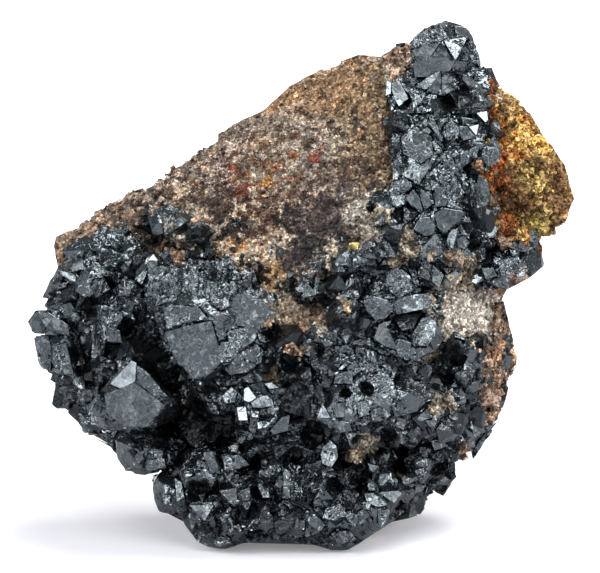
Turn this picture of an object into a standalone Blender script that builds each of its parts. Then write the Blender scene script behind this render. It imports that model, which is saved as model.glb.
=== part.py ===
"""Sphalerite specimen: black crystals grown on a broken piece of brown host rock.

The specimen stands on a flat broken base, and its display face leans back by DISPLAY_TILT.
Places on it are given on that face in millimetres: x to the right, h up the face and
d away from the viewer. The function at() turns such a place into a world point.
"""
import math
import random

import bmesh
import bpy
from mathutils import Euler, Vector, noise
from mathutils.bvhtree import BVHTree

MM = 0.001

# Driving dimensions, in millimetres and degrees
DISPLAY_TILT = math.radians(12)
CENTRE_X = 0.34
CENTRE_Y = 5.28
BASE_DROP = 2.1
GAP = 0.3
ROOT_SHARE = 0.72
FLAT_ANGLE = math.radians(7)
SAME_PLANE = math.radians(0.3)
SEAM_WELDS = (0, 2e-6, 1e-5, 3e-5)
NUDGES = ((0, 0, 0), (0.013, 0.007, -0.011), (-0.017, 0.012, 0.009), (0.021, -0.019, 0.014),
          (-0.011, -0.023, -0.018), (0.031, 0.027, 0.022), (-0.037, 0.029, -0.033),
          (0.051, -0.043, 0.047), (-0.061, -0.057, 0.053), (0.071, 0.067, -0.079))
WELDS = ((1e-5, True), (5e-6, True), (2e-6, True), (2e-5, True), (4e-5, True), (6e-5, True),
         (2e-6, False), (1e-5, False), (0.0, False))
ROCK_VOXEL = 1.3
ROCK_TRIANGLES = 640
BED_TRIANGLES = 380
BED_BACK = 3
BED_RISE = 1.5
FLOOR_GAP = 0.4
ROCK_ROUGHNESS = 0.9
LOBE_TRIANGLES = 200
SEED = 7

# Convex blocks that make up the host rock, as corners (x, h, d)
ROCK_BLOCKS = {
    "slab": [
        (-22.6, 50, 3), (-21.6, 47, -4), (-15, 42, -10), (-6, 39, -15), (4, 38, -16.5),
        (12, 41, -15.5), (14, 50, -9.5), (14, 60, -4.5), (12.5, 69.8, -1.4), (6, 69.8, 0.6),
        (-1, 65.6, 1.6), (-9, 59.8, 2.6), (-16, 55.6, 3), (-20.4, 52.6, 4), (0, 58, 18),
        (10, 60, 16),
        (-14, 48, 16),
    ],
    "ridge": [
        (3.5, 69.4, 5), (-1.3, 66, 6), (-5.1, 62.2, 6), (-10.6, 58.8, 6), (-13.2, 57.8, 6),
        (-18.4, 55.6, 6), (-20.6, 54.2, 6), (11.5, 71.2, 4), (15, 71.6, 4), (18, 69, 8),
        (0, 60, 16),
        (-14, 52, 14), (14, 62, 14), (-19, 47, 4), (12, 60, 0),
    ],
    "heart": [
        (-20, 36, -8), (-8, 31, -15), (5, 29, -15), (16, 31, -12), (23, 32, -7), (26, 39, -3),
        (-15, 16, -13), (0, 14, -15), (13, 16, -13), (21, 18, -6), (24, 55, -4), (16, 60, -4),
        (-24, 40, -2), (-6, 42, 18), (14, 44, 18), (24, 40, 14), (16, 18, 16), (-12, 16, 16),
    ],
    "foot": [
        (-12, 0, -9), (9, 0, -9), (13, 1, 0), (14, 3, 9), (11, 5, 18), (-10, 5, 18),
        (-16, 3, 8), (-16, 1, -3), (-16.5, 8, -11), (11, 8, -12), (0, 6, -13.5), (-16, 18, 12),
        (17, 16, 12), (0, 22, 18), (0, 20, -12),
    ],
    "left_shoulder": [
        (-34.6, 33, 1), (-34, 26, 3), (-32.4, 20.6, 6), (-33, 38, 2), (-29, 41.6, -2),
        (-27, 31, -9.5), (-26, 20, -9), (-21, 13, -9.5), (-18, 41, -10), (-20, 10, 6),
        (-28, 18, 12), (-31, 34, 14), (-33, 34, -4), (-25, 15, 2),
        (-14, 40, 16), (-14, 16, 14),
    ],
    "back_left_ridge": [
        (-35.2, 44.2, 9), (-35.8, 42.4, 9), (-35.2, 39.6, 9), (-31.9, 46.6, 11),
        (-27.8, 49.2, 12), (-25.2, 51, 12), (-22, 51.6, 11), (-35.2, 38, 7), (-20, 40, 4),
        (-31, 38, 18), (-20, 47, 20), (-10, 50, 14), (-27, 42, 2),
    ],
    "column_core": [
        (13.5, 70, -1), (20, 71, 2), (27, 67, 2), (28.4, 61, 1), (27, 50, -4), (25, 40, -7.5),
        (14, 40, -12.5), (13, 48, -9.5), (13, 58, -5), (20, 61, -6), (20, 51, -9.5),
        (22, 44, -10.5), (16, 70, 8), (27, 62, 10), (26, 44, 10), (14, 44, 8),
    ],
    "right_flank": [
        (24, 60, 2), (28, 67, 5), (20, 69, 6), (30, 62, 8), (29, 40, 8), (34.4, 41, 4),
        (35, 38.8, 5), (31, 37.6, 3), (27, 42, -4), (28.5, 50, -2), (25, 36, -6), (24, 54, 16),
        (20, 40, 18), (28, 48, 12), (32, 45, 1),
    ],
    "right_edge": [
        (27.4, 37, 0), (28.2, 36.6, 6), (30, 33, 7), (30.4, 28, 8), (29.6, 21, 8), (27.6, 17, 8),
        (24, 13.4, 7), (26.6, 20, -1), (27.4, 30, -3), (22, 16, -4), (20, 26, -10), (20, 36, -10),
        (20, 14, 14), (24, 34, 16), (14, 20, 16),
    ],
    "lower_right": [
        (22.8, 14.4, 7), (19.6, 9.6, 6), (16.4, 6.4, 5), (13, 4.2, 4), (20, 15, -3), (12, 8, -8),
        (14, 6, 14), (20, 16, 14), (10, 18, 14),
    ],
}

# Corners of the ochre quartz lobe on the right shoulder
OCHRE_LOBE = [
    (27.5, 66, 5), (30.4, 65.3, 5), (32.5, 63, 4), (34.2, 61, 4), (35, 58.8, 3.6),
    (37.4, 56.4, 4), (38.2, 54.6, 4), (39.3, 52, 4), (39.3, 49.8, 4), (38.9, 47.4, 4),
    (37.2, 44.8, 3), (35, 43.8, 2), (32, 45, -0.5), (30, 49, -3), (28, 54, -4.5),
    (27.5, 58, -4.5), (29.5, 62, -2), (33.5, 57, -2), (35, 51, -1.5), (28, 64, 12),
    (34, 56, 12), (34, 48, 10), (27, 46, 8),
]

# Crystals whose faces can be read one by one: corners (x, h, d), then where the root leads
SHAPED_CRYSTALS = {
    "crest_crystals": [
        ([(15.1, 70.8, -1.5), (16.1, 72.5, -0.5), (16.8, 73.5, 0.5), (18.7, 74.5, 1.5),
          (20.8, 75.4, 2), (23, 74.8, 2), (24.2, 74, 1.5), (25, 71.8, 0), (25.5, 69.4, 0.5),
          (15.8, 70.8, -3), (20.1, 71.9, -5.2), (20.5, 72.6, -4.6), (24, 73.1, -1.5),
          (22.2, 69.4, -5.4), (18.7, 70, -6), (21.3, 69.8, -6), (16.5, 69, -4.6), (16.5, 68, -4.2),
          (17.2, 67, -3.8), (21.8, 68, -5.2), (23.6, 68.2, -2.5)],
         (-1, -5, 7)),
        ([(20, 68.1, -7), (16.9, 65.9, -5.4), (19.9, 64.6, -8), (22.2, 66.1, -6),
          (18.2, 67.3, -6.2), (21.5, 67.5, -5.6)],
         (0, -1, 6)),
        ([(12.4, 66.7, -4), (13.3, 66.8, -4.3), (13.2, 64.7, -5.8), (12.3, 64.7, -4.8),
          (15.8, 64.1, -4.8), (14.8, 63.5, -5.8), (13.9, 62.9, -5.4), (12.1, 63.3, -4.4),
          (12.6, 61.9, -4.4), (14.3, 67.8, -3.2), (15.6, 65.8, -3.8)],
         (0.5, 0, 5)),
    ],
    "column_upper_crystals": [
        ([(22.7, 60, -8), (23.9, 60, -9.4), (25.5, 60.4, -8.2), (25, 58.8, -9.4),
          (24.5, 57.9, -8.6), (23, 58.3, -8.6), (22.7, 61.1, -7), (24.8, 61, -7)],
         (0, 0, 5)),
        ([(23.9, 62.1, -6.5), (25, 61.9, -7.8), (26.3, 62.3, -6.6), (26.8, 60.8, -6.4),
          (26.1, 60.5, -7.4), (25, 63.2, -5)],
         (-0.5, 0, 5)),
        ([(20, 61.5, -7.5), (22.3, 61.4, -7.6), (20.2, 61, -9), (22.2, 61.2, -9.2),
          (22.5, 58.3, -9.4), (20.8, 58.2, -10), (19.6, 59.8, -8.6), (18, 61.8, -7),
          (20.6, 57.5, -9)],
         (0, 0, 5)),
        ([(16.2, 61.6, -6), (18.2, 61.9, -8), (20.3, 57.9, -10.3), (20.7, 57.6, -9.4),
          (18.3, 60, -9.4), (16.4, 60.9, -7.4)],
         (0, 0, 5)),
        ([(21, 57.6, -9.6), (25.4, 57.3, -8), (24.5, 55.4, -9.4), (22.8, 54.1, -10.8),
          (20.1, 53.9, -11.6), (20, 55.7, -11), (22.5, 56.2, -11.4), (25.8, 56, -6)],
         (0, 0, 6)),
        ([(19.7, 53.7, -11.4), (23, 53.7, -10.8), (22.8, 52.5, -11.6), (21, 49.1, -12.8),
          (19.3, 49.1, -12.8), (19.2, 51.6, -12.2), (21.3, 51.8, -13.4)],
         (0, 0, 6)),
        ([(24.7, 53.2, -7.4), (26.7, 52.9, -6.6), (27.1, 51.2, -7), (26, 49.2, -8),
          (23.4, 49.2, -9.4), (22.9, 52.3, -9.4), (26, 52.4, -8.4), (25.2, 50.5, -9.6)],
         (-0.5, 0, 6)),
        ([(14.5, 59.8, -7.5), (16.4, 60, -8.4), (18.2, 58.8, -9.6), (20, 57, -10),
          (19.2, 55.4, -11), (16.8, 51.9, -12), (14.4, 53.2, -11), (13.6, 57.5, -9),
          (13.1, 60.4, -6.6), (17.4, 56, -11.8)],
         (0.5, 0, 6)),
    ],
    "column_lower_crystals": [
        ([(15.1, 49.2, -12), (16.6, 51.2, -12.8), (18.8, 49, -13.2), (17.5, 47.9, -14),
          (17.6, 50.5, -14), (18.6, 50.8, -12.9), (15.8, 51.3, -11.5)],
         (0, 0, 6)),
        ([(16.8, 47, -13.2), (19, 46.8, -13.4), (19, 45.3, -14), (18.2, 44.5, -13.6),
          (16, 45.1, -13.4), (17.7, 45.8, -14.8), (15.4, 47.4, -12), (14.8, 46, -12)],
         (0, 0, 6)),
        ([(19.4, 47.7, -13), (20.9, 48.4, -12.4), (23.1, 47.8, -11), (22.9, 47.2, -11.8),
          (20.2, 44.8, -14), (19.6, 45.4, -14), (20.8, 46.8, -14.6), (23, 46, -10)],
         (0, 0, 6)),
        ([(22.1, 45.6, -13), (22.5, 45.2, -13), (21.6, 42.4, -14.2), (20.7, 43.8, -14.4),
          (20.9, 44.8, -13.8), (22.6, 43.4, -12.5)],
         (-0.3, 0.2, 6)),
        ([(23.2, 46.6, -10), (24.6, 47.8, -9), (25.6, 46.2, -8.6), (24.6, 44.2, -9.6),
          (23, 44.6, -10.4), (24, 45.6, -11.4)],
         (0, 0, 6)),
        ([(19.2, 44.6, -14.2), (20.1, 43, -15.2), (20.3, 42.1, -15.2), (19.1, 41.8, -15.8),
          (17.2, 42.6, -14.8), (16.7, 42.1, -14.2), (17.3, 41, -14.4), (18.3, 41.6, -15.4)],
         (0, 0, 6)),
        ([(17.8, 40.7, -15), (20, 39.5, -15), (20.2, 38.7, -15.4), (19.5, 37.2, -16),
          (18.3, 37.6, -16), (16.5, 38.6, -14.6), (17.3, 40.5, -14.4), (18.5, 39.6, -16.6)],
         (0, 0, 6)),
        ([(22, 39.7, -12.6), (22.6, 39, -12.8), (21.2, 37.3, -14.4), (20, 37.1, -15),
          (20.2, 38.4, -14.6), (22.5, 38, -12)],
         (-0.3, 0, 6)),
    ],
    "flank_crystals": [
        ([(25.2, 39.5, -6), (26.5, 39.4, -8.4), (28.1, 39.6, -9.2), (29.8, 41.4, -8),
          (31.5, 40.1, -6), (30.5, 39.2, -7.8), (28.3, 38.2, -9.4), (26.6, 37.9, -8.4),
          (25.5, 38.5, -6.4), (29.2, 40.2, -9.6), (27.5, 41.5, -7.4)],
         (0, 0.5, 7)),
        ([(28.5, 37.6, -7.6), (31.5, 39.2, -5.4), (31.9, 38.5, -4.2), (29.5, 36.7, -5.6),
          (28.5, 36.3, -6.4), (30.4, 38, -7.2)],
         (-0.8, 1, 7)),
        ([(28.1, 44, -6.5), (30.7, 44.2, -6), (31.2, 41.8, -6.4), (28.6, 41.5, -7.6),
          (29.7, 42.8, -8.4)],
         (-0.3, 0, 6)),
        ([(30.4, 45.6, -4), (32.4, 45.2, -3.4), (32.6, 42.4, -3.6), (30.8, 42.2, -5),
          (31.4, 44, -6)],
         (-0.6, 0, 6)),
    ],
    "ring_crystals": [
        ([(11.6, 39, -14), (14.8, 39.3, -14.4), (16.4, 37.5, -15.8), (16.3, 36.8, -16.6),
          (14.5, 35.6, -18.2), (11.9, 32.9, -19.6), (10.8, 32.5, -19.2), (9.2, 33.9, -17.5),
          (8.8, 35.7, -15.5), (10.5, 35, -19.2), (13, 36.6, -18.8), (10.5, 38, -15)],
         (0, 0.5, 7)),
        ([(14.7, 34.6, -17.6), (17.7, 36.2, -15.6), (18.8, 35.2, -15.6), (18.6, 33.9, -16),
          (17.7, 33.5, -16.8), (15.4, 34.1, -18), (16.8, 34.4, -18.2), (18.2, 36, -14.6)],
         (0, 0.4, 6)),
        ([(10.2, 30.1, -17), (11.5, 31.8, -17), (12.8, 30.1, -19.5), (14.8, 28.6, -20.2),
          (14.2, 27.2, -20), (10.9, 29.3, -19), (13.7, 30.1, -18), (14.6, 29.9, -17.5),
          (16, 28.8, -17.5), (14.7, 27.5, -19.5), (9.4, 31.4, -16.2), (10.6, 31.4, -16.4)],
         (0, 0.5, 7)),
        ([(16.7, 32.4, -16.5), (17.9, 32.9, -17), (19, 33.1, -15.8), (19.2, 31.1, -16),
          (18.5, 29.3, -16.6), (16.5, 29.3, -17.6), (15.8, 30.9, -17.4), (17.6, 31.2, -18.6)],
         (0.3, 0, 6)),
    ],
    "right_centre_crystals": [
        ([(3.2, 20.9, -19.5), (4.5, 18.8, -22), (2.3, 18.9, -21.5), (6.6, 17.7, -22),
          (5.6, 16.5, -20), (3.3, 17.6, -19.6), (4.8, 23.6, -19), (6.9, 25.3, -18.6),
          (7.3, 23.6, -20.4), (6.6, 20, -22), (2.7, 22.2, -17.5), (8.5, 19.5, -21), (9, 23, -20)],
         (0.5, 0.8, 7)),
        ([(2.6, 25.7, -15.5), (3.8, 27.3, -16), (4.7, 28.8, -15.5), (6.8, 29.5, -16),
          (9.2, 29.4, -16), (11.5, 27.8, -16.5), (9.5, 26.5, -19.5), (6.5, 26.5, -19.7),
          (4.8, 26.4, -19.2), (4.8, 28.4, -17.7), (7.3, 24.5, -20)],
         (0, 0, 7)),
        ([(14.4, 24.8, -17), (16, 24.2, -16.5), (17.9, 23.5, -16), (18, 21.7, -16.5),
          (16.5, 19.8, -17.5), (13.4, 19, -19), (13, 23, -19.6), (15.3, 22.4, -20.4),
          (12.8, 20.8, -20.2), (17, 21.5, -19.2)],
         (0, 0.3, 7)),
        ([(7.4, 24.5, -19.5), (9.5, 26.8, -19), (13, 25.5, -18.5), (13.4, 22, -20),
          (12, 19.2, -20.5), (8.8, 18, -21), (6.8, 18.6, -21.6), (9.5, 22.5, -22)],
         (0, 0.5, 7)),
    ],
    "centre_crystals": [
        ([(-21.9, 36.9, -15), (-20.2, 40.2, -13.5), (-14.3, 41.2, -13), (-8.3, 38.6, -13.5),
          (-6.3, 36, -15.5), (-4, 34.1, -16), (-6, 31.4, -18.5), (-6.7, 29.4, -18),
          (-10.6, 25.7, -18.5), (-13.6, 23.6, -18), (-19, 29.4, -18), (-21.4, 34.4, -17),
          (-10.8, 33.4, -24), (-18.6, 32.4, -21.5), (-15.5, 34.8, -22.5), (-10.6, 28.4, -22),
          (-13.4, 26, -21.2)],
         (0, 0.8, 8)),
        ([(-23.1, 39.6, -14), (-20.9, 42.1, -13), (-20.4, 40.8, -15), (-22.3, 37.6, -15.6),
          (-23.3, 38.4, -15), (-21.2, 40.4, -15.8)],
         (0.4, -0.2, 5)),
    ],
    "left_edge_crystals": [
        ([(-38.8, 32.3, -5), (-37.7, 33.9, -4), (-34.9, 34.2, -7), (-33.8, 32.9, -9),
          (-34.9, 31.3, -10.5), (-36.1, 31, -9.5), (-37.7, 30.7, -6)],
         (2.5, 0, 8)),
        ([(-37.6, 30.3, -5), (-35.9, 30.5, -8.5), (-33, 30.3, -10), (-35, 28.9, -11),
          (-32.7, 26.6, -11.5), (-31.5, 24.4, -10), (-33.9, 25.1, -10), (-36.7, 25.7, -6),
          (-37.5, 27.4, -5)],
         (2.5, 0, 9)),
        ([(-33.5, 34.9, -10), (-32.6, 34.8, -11), (-31.1, 32.8, -11.4), (-30.9, 31.9, -11.2),
          (-31.5, 31.3, -11), (-32.7, 32.3, -11.7), (-33.6, 33.6, -11)],
         (1.2, 0, 8)),
    ],
    "front_left_crystals": [
        ([(-23.4, 27.1, -17), (-22.8, 26.3, -18), (-23, 24, -23.5), (-25.1, 23.1, -23),
          (-26.6, 23.7, -20.5), (-27.3, 23.6, -19), (-27, 21.1, -21), (-18.6, 21, -22),
          (-17.7, 21.6, -20), (-19.1, 23.1, -17.5), (-20, 19.6, -21), (-20.3, 17.4, -17),
          (-16.6, 19.2, -16), (-26.3, 17.1, -18), (-28.6, 17.6, -15), (-30, 20.4, -14)],
         (0.5, 1, 9)),
    ],
    "lower_left_crystals": [
        ([(-26.1, 15.7, -13), (-24.3, 16.4, -14), (-21.4, 16.4, -15), (-19.3, 14.7, -14.5),
          (-20, 11.1, -13.5), (-22.1, 10.7, -14.5), (-24.7, 11.3, -13), (-25.9, 13.3, -12.5),
          (-23.6, 14.7, -18), (-21.1, 14, -18), (-22.9, 12.3, -17.5)],
         (2, 1.5, 9)),
    ],
    "glitter_crystals": [
        ([(-8.8, 20.5, -19), (-9.3, 18.1, -19), (-8.8, 16.2, -18.5), (-7.2, 15.6, -19),
          (-5, 16, -19.5), (-3, 16.8, -19), (-1.4, 18.8, -18), (-2.4, 19.7, -18.5),
          (-3.1, 20.9, -18.5), (-5, 22.4, -18), (-7.1, 23.3, -17.5), (-7.8, 23.2, -17.6),
          (-7.1, 20.7, -22.2), (-5.3, 21.9, -20), (-3.5, 21.3, -20.5), (-4.5, 20.5, -22),
          (-6, 20.3, -22.6), (-7.7, 19.2, -22.4), (-6.2, 18.1, -23), (-3.9, 18.8, -21.6),
          (-8.7, 18.8, -21)],
         (0, 0.8, 8)),
        ([(-11.3, 22.8, -17), (-9, 23.2, -17), (-9, 20.2, -18.5), (-11.2, 20.3, -19.8),
          (-13.6, 20, -18), (-13.2, 22.8, -16), (-12.2, 19, -18.5), (-10.4, 21.6, -19.8)],
         (0, 0, 7)),
        ([(-1.9, 18.3, -17.4), (1.5, 19.4, -16.4), (1.2, 17.4, -17), (-0.9, 16.3, -17.5),
          (0.2, 18.4, -18.6)],
         (0, 0.4, 6)),
    ],
    "bottom_left_crystals": [
        ([(-20.7, 10.1, -9), (-20.9, 9, -9), (-20.5, 6, -9), (-19.7, 5.2, -9.5), (-17.7, 10.5, -13),
          (-17.4, 8.6, -14.8), (-16.3, 7.3, -14.8), (-19.3, 9.5, -12.8), (-17.9, 5.9, -13),
          (-18.9, 7.6, -13.8), (-15.9, 5.2, -12.5)],
         (2.5, 1.5, 8)),
        ([(-18, 12.6, -14), (-16.3, 14, -14.5), (-13.7, 14.6, -15), (-11.9, 14.1, -15),
          (-11.4, 12.3, -16.5), (-12.6, 11.4, -17.8), (-16.3, 10.7, -17.2), (-14.7, 11.1, -18.8),
          (-13.4, 14.1, -16.8), (-15.7, 7.3, -15.5), (-13.6, 7.6, -17), (-12.1, 9.7, -17.5)],
         (0.5, 0.8, 8)),
        ([(-15.7, 6.4, -15.5), (-12, 6.4, -16.8), (-12.1, 5.9, -16.8), (-13.3, 4.1, -15),
          (-14.4, 5.3, -15.8), (-11.4, 8.1, -16), (-15, 7.4, -16), (-15, 2.8, -11.5),
          (-12, 1.6, -11)],
         (0.5, 1, 7)),
    ],
    "bottom_centre_crystals": [
        ([(-10.1, 14.7, -14.5), (-8.7, 14.9, -15), (-7.9, 14.3, -15), (-7, 12.4, -15.5),
          (-8.7, 12, -17.2), (-10.5, 12, -16.8), (-9.7, 13.7, -17.4)],
         (0, 0.5, 7)),
        ([(-2.3, 11.7, -17), (-1, 10, -18.5), (-1, 7.7, -18.5), (-1.9, 8.1, -19.2),
          (-2.4, 10, -19.2), (-3.1, 11.1, -17), (-3.6, 9, -17.5), (-2.9, 7.3, -17)],
         (0, 0.5, 8)),
        ([(-6.3, 9.6, -16), (-5.3, 9.7, -16.5), (-4.1, 7.6, -17), (-4.9, 7.4, -17.5),
          (-6, 8.3, -17.2), (-3.4, 9.6, -15.5)],
         (0, 0.5, 7)),
        ([(-5.7, 13.3, -15.5), (-3.6, 13.7, -16), (-2.4, 12.3, -17), (-3.3, 10.4, -17.8),
          (-5.4, 10, -17), (-6.3, 11.7, -16.5), (-4.3, 12.1, -18.4)],
         (0, 0.3, 7)),
        ([(0, 11.4, -16.5), (1.7, 10.9, -17), (0.1, 9.9, -18), (-0.4, 11, -17.5), (1.1, 9.7, -17),
          (0.7, 10.9, -18.6), (0.4, 12, -15.4)],
         (0.2, 0.2, 6)),
    ],
    "bottom_right_crystals": [
        ([(4.4, 15.7, -16.5), (5.1, 14.9, -17.4), (5.3, 13.6, -17.6), (4.4, 11.9, -17.4),
          (3, 12.9, -17.6), (3, 14.1, -17.4), (4, 13.7, -18.8)],
         (0, 0.2, 7)),
        ([(0.7, 5.5, -15.5), (1.4, 6.4, -15), (2.9, 4.9, -15.5), (4, 4.1, -14.5), (2.4, 3.1, -14.5),
          (1.7, 5.1, -17), (0.3, 4.4, -15)],
         (0, 0.6, 7)),
        ([(3.9, 7, -15), (5.4, 7, -16), (6.4, 6, -16), (6.3, 4.4, -15.5), (5, 3.6, -14.5),
          (3.7, 4.6, -15), (5.2, 5.3, -17.4)],
         (0, 0.6, 7)),
        ([(9.1, 10.4, -14), (9.7, 9.9, -14.5), (11.1, 8.1, -15), (12.6, 6.4, -14), (12.7, 5.6, -14),
          (12.3, 4.1, -13.5), (11.7, 3.2, -13.5), (10.7, 3.1, -14.5), (8.4, 2.6, -13),
          (7, 3.8, -13.5), (7.2, 5.3, -15.8), (8.6, 6.9, -16.8), (9.6, 8.1, -16.8),
          (9.3, 9.4, -15.7), (11, 6.4, -17.2), (10.8, 4.9, -17)],
         (-0.8, 1.2, 8)),
    ],
}

# Smaller crystals of a general habit: (x, h, radius, rise above the bed). A group named as one
# above grows together with it.
SEATED_CRYSTALS = {
    "crest_crystals": [
        (14.4, 70.2, 1.6, 0), (15.8, 66.6, 1.7, 1), (25.2, 67.4, 2, 0), (24, 65.4, 2, 0.6),
        (26.7, 63.6, 1.7, 0.6),
    ],
    "column_upper_crystals": [
        (25.6, 56.6, 2, 1.5), (24.8, 54.4, 2, 1.5),
    ],
    "column_lower_crystals": [
        (11.4, 48.4, 1.7, 0.4), (13.4, 49.6, 2, 1), (15, 44, 1.8, 0.6), (14.6, 42.2, 1.6, 0.6),
    ],
    "flank_crystals": [
        (26.4, 45.8, 2, 1), (25.2, 43.4, 2.2, 1),
    ],
    "ring_left_crystals": [
        (8.4, 41.2, 1.9, 0.6), (12.2, 41.4, 1.9, 1), (6.6, 39.4, 2, 1), (6.6, 36.6, 2.1, 1.4),
        (7, 34.2, 1.8, 1.4),
    ],
    "right_centre_crystals": [
        (-1.6, 27.6, 2.1, 1), (-0.2, 25.2, 2, 1),
    ],
    "left_upper_crystals": [
        (-30, 40.6, 2.9, 1), (-28.6, 37.4, 3.1, 2), (-25.8, 43.2, 2.6, 1), (-24.2, 40.8, 2.2, 1),
        (-32.4, 37.4, 2.3, 1), (-26.2, 32, 3.6, 3), (-24, 36.6, 2.4, 1.5), (-28.4, 29.4, 2.2, 2),
    ],
    "left_edge_crystals": [
        (-35.2, 37.8, 2, 0), (-33.4, 36, 2, 1),
    ],
    "back_left_druse": [
        (-36, 23.4, 1.9, 0), (-31.7, 18.6, 2, 0), (-32.6, 22, 2.6, 0.6), (-35, 25.6, 2, 0.4),
    ],
    "lower_left_crystals": [
        (-27.6, 15, 2, 1), (-18.4, 13.4, 2, 2), (-18.6, 16.6, 2, 2),
    ],
    "bottom_left_crystals": [
        (-9.8, 4.6, 2.2, 2), (-8.4, 7.4, 2.4, 2.4),
    ],
    "bottom_centre_crystals": [
        (-5.4, 5, 2.2, 2), (-2.6, 4.4, 2, 1.6), (-7.2, 14.4, 2, 2),
    ],
    "bottom_right_crystals": [
        (5.6, 2.2, 1.9, 0.6), (3.4, 9.6, 2.2, 2), (7.4, 11.8, 2.3, 1.6), (10.6, 13, 2.2, 1.4),
    ],
    "lower_right_crystals": [
        (17.9, 19.2, 2, 1.6), (19.2, 16.8, 2.1, 1.6), (21.2, 18, 2, 1.2), (25.2, 15.2, 2, 0),
        (17.2, 13.6, 2, 1), (16.2, 11, 2.1, 1), (20.6, 9.6, 1.8, 0), (15.2, 8, 2, 1),
        (21.8, 12.6, 1.9, 0),
    ],
    "right_lower_crystals": [
        (23.6, 28, 2.1, 1), (23, 25.6, 2, 1.4), (23.8, 23.4, 2, 1.2), (21.8, 21.6, 2, 1.6),
    ],
    "right_edge_crystals": [
        (29, 32.8, 2, 0), (30.4, 27.8, 1.7, 0), (28, 17.4, 1.8, 0),
    ],
    "upper_left_matrix_crystals": [
        (-19.4, 46.6, 1.9, 0.3), (-17.4, 45.6, 1.7, 0.4), (-14.4, 45.2, 1.8, 0.4),
    ],
    "middle_matrix_crystals": [
        (1, 36.8, 2, 0.6), (2.8, 37, 1.7, 0.4),
    ],
}

# The bed each group of crystals is grown together on: how far its skin is moved out from the
# rock as (x, h, d), then the outline it fills as (x, h)
BEDS = {
    "crest_crystals": ((0, 1.2, -2.4), [(12, 69.8), (14.4, 71.8), (26, 73), (28, 66), (27.4, 62), (13, 62)]),
    "column_upper_crystals": (
        (0, 0, -2.4), [(13, 61.7), (27.6, 61.7), (28, 54), (26.5, 48.3), (19, 48.3), (13.2, 52)]),
    "column_lower_crystals": (
        (0, 0, -2.4), [(10.6, 49.8), (13.2, 51.7), (18.9, 50), (26.2, 48), (24.4, 37), (14, 37.6),
                       (10.8, 44)]),
    "flank_crystals": (
        (0.6, -0.4, -2.2), [(25, 48), (33.6, 47), (35, 40), (31, 36.4), (24.9, 37.6)]),
    "ring_left_crystals": (
        (0, 0, -2), [(5.4, 40.4), (7.6, 43.4), (11, 43.4), (13.7, 40.2), (9, 35), (8, 32.2),
                     (5, 32.6)]),
    "ring_crystals": (
        (0, 0, -2.2), [(9, 38), (14, 40), (19.9, 37.2), (20, 28.6), (15, 26.9), (8.3, 31.2)]),
    "centre_crystals": (
        (0, 0, -2.2), [(-24, 40), (-20, 42.6), (-12, 41.8), (-3.6, 35.6), (-2.7, 31), (-6, 24),
                       (-13.6, 23), (-20, 27.6), (-24, 34)]),
    "glitter_crystals": (
        (0, 0, -2.4), [(-14.8, 17), (-13.8, 22.8), (-6, 23.9), (-2.6, 23.9), (1.5, 20.2),
                       (1.6, 15.5), (-9, 15.2)]),
    "right_centre_crystals": (
        (0, 0, -2.4), [(-2.3, 31), (3, 32), (8.3, 31), (14.8, 26.8), (18.6, 26), (18.6, 18),
                       (11, 16.4), (1.8, 16.4), (-2.6, 24)]),
    "left_upper_crystals": (
        (-0.8, 0.4, -2.2), [(-35.2, 39.6), (-32.6, 42.6), (-26, 45.8), (-22, 45.2), (-21.4, 42),
                            (-21.8, 30), (-24, 27.6), (-30.4, 27.8)]),
    "left_edge_crystals": (
        (-2, 0, -1.8), [(-38, 39), (-35.7, 40), (-31, 33), (-30.8, 25), (-34, 23.5), (-39, 28)]),
    "front_left_crystals": (
        (0, 0, -2.4), [(-30.5, 22), (-30.4, 27.5), (-20, 27.3), (-14, 22.8), (-15.4, 16.8),
                       (-28.5, 16.4)]),
    "back_left_druse": (
        (-1.6, -0.8, -0.8), [(-37, 25.2), (-34, 25), (-30.9, 24.6), (-28.9, 16.2), (-32, 16),
                             (-35.6, 19.4)]),
    "lower_left_crystals": (
        (-1.2, -0.6, -2), [(-28.6, 16.1), (-15.4, 16.5), (-16.2, 11.2), (-21, 10), (-24.6, 10.8),
                           (-26.4, 13)]),
    "bottom_left_crystals": (
        (-1.6, -0.4, -2.2), [(-21.2, 10), (-16, 12), (-15.2, 16.4), (-11.2, 15.6), (-7.6, 9),
                             (-7.4, 0), (-13.8, 0.6), (-16.6, 4.4), (-20.4, 5.6)]),
    "bottom_centre_crystals": (
        (0, -0.6, -2.4), [(-10.8, 15), (1.9, 15.2), (2.4, 11), (0.2, 0), (-7.2, 0), (-7.3, 9)]),
    "bottom_right_crystals": (
        (0.6, -0.6, -2.4), [(2.2, 16.2), (11, 16.2), (13.6, 12), (14, 6), (12.6, 0), (0.5, 0),
                            (2.7, 11)]),
    "lower_right_crystals": (
        (0.8, -0.6, -2), [(11.2, 16.2), (14, 19.4), (19, 20), (27.6, 19), (26.8, 15.4), (21.4, 9.4),
                          (18.6, 5.6), (13.6, 3), (13.9, 12)]),
    "right_lower_crystals": (
        (0.8, 0, -2), [(18.9, 25.8), (22, 29.8), (26.6, 29), (27.4, 23), (26.4, 20.2),
                       (18.9, 20.3)]),
    "right_edge_crystals": (
        (0.8, 0, -1), [(28, 34.4), (30.4, 35.2), (31.4, 31), (31.2, 26.6), (29, 16), (27.4, 17.4),
                       (27.6, 29.5)]),
    "upper_left_matrix_crystals": (
        (0, 0.3, -1.6), [(-20.6, 46.4), (-19, 48.4), (-15, 47.2), (-13, 45.2), (-13.6, 43.8),
                         (-18, 44)]),
    "middle_matrix_crystals": (
        (0, 0, -1.5), [(-0.6, 38.6), (4.4, 38.8), (4.4, 35.2), (-0.6, 35.2)]),
}

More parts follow.
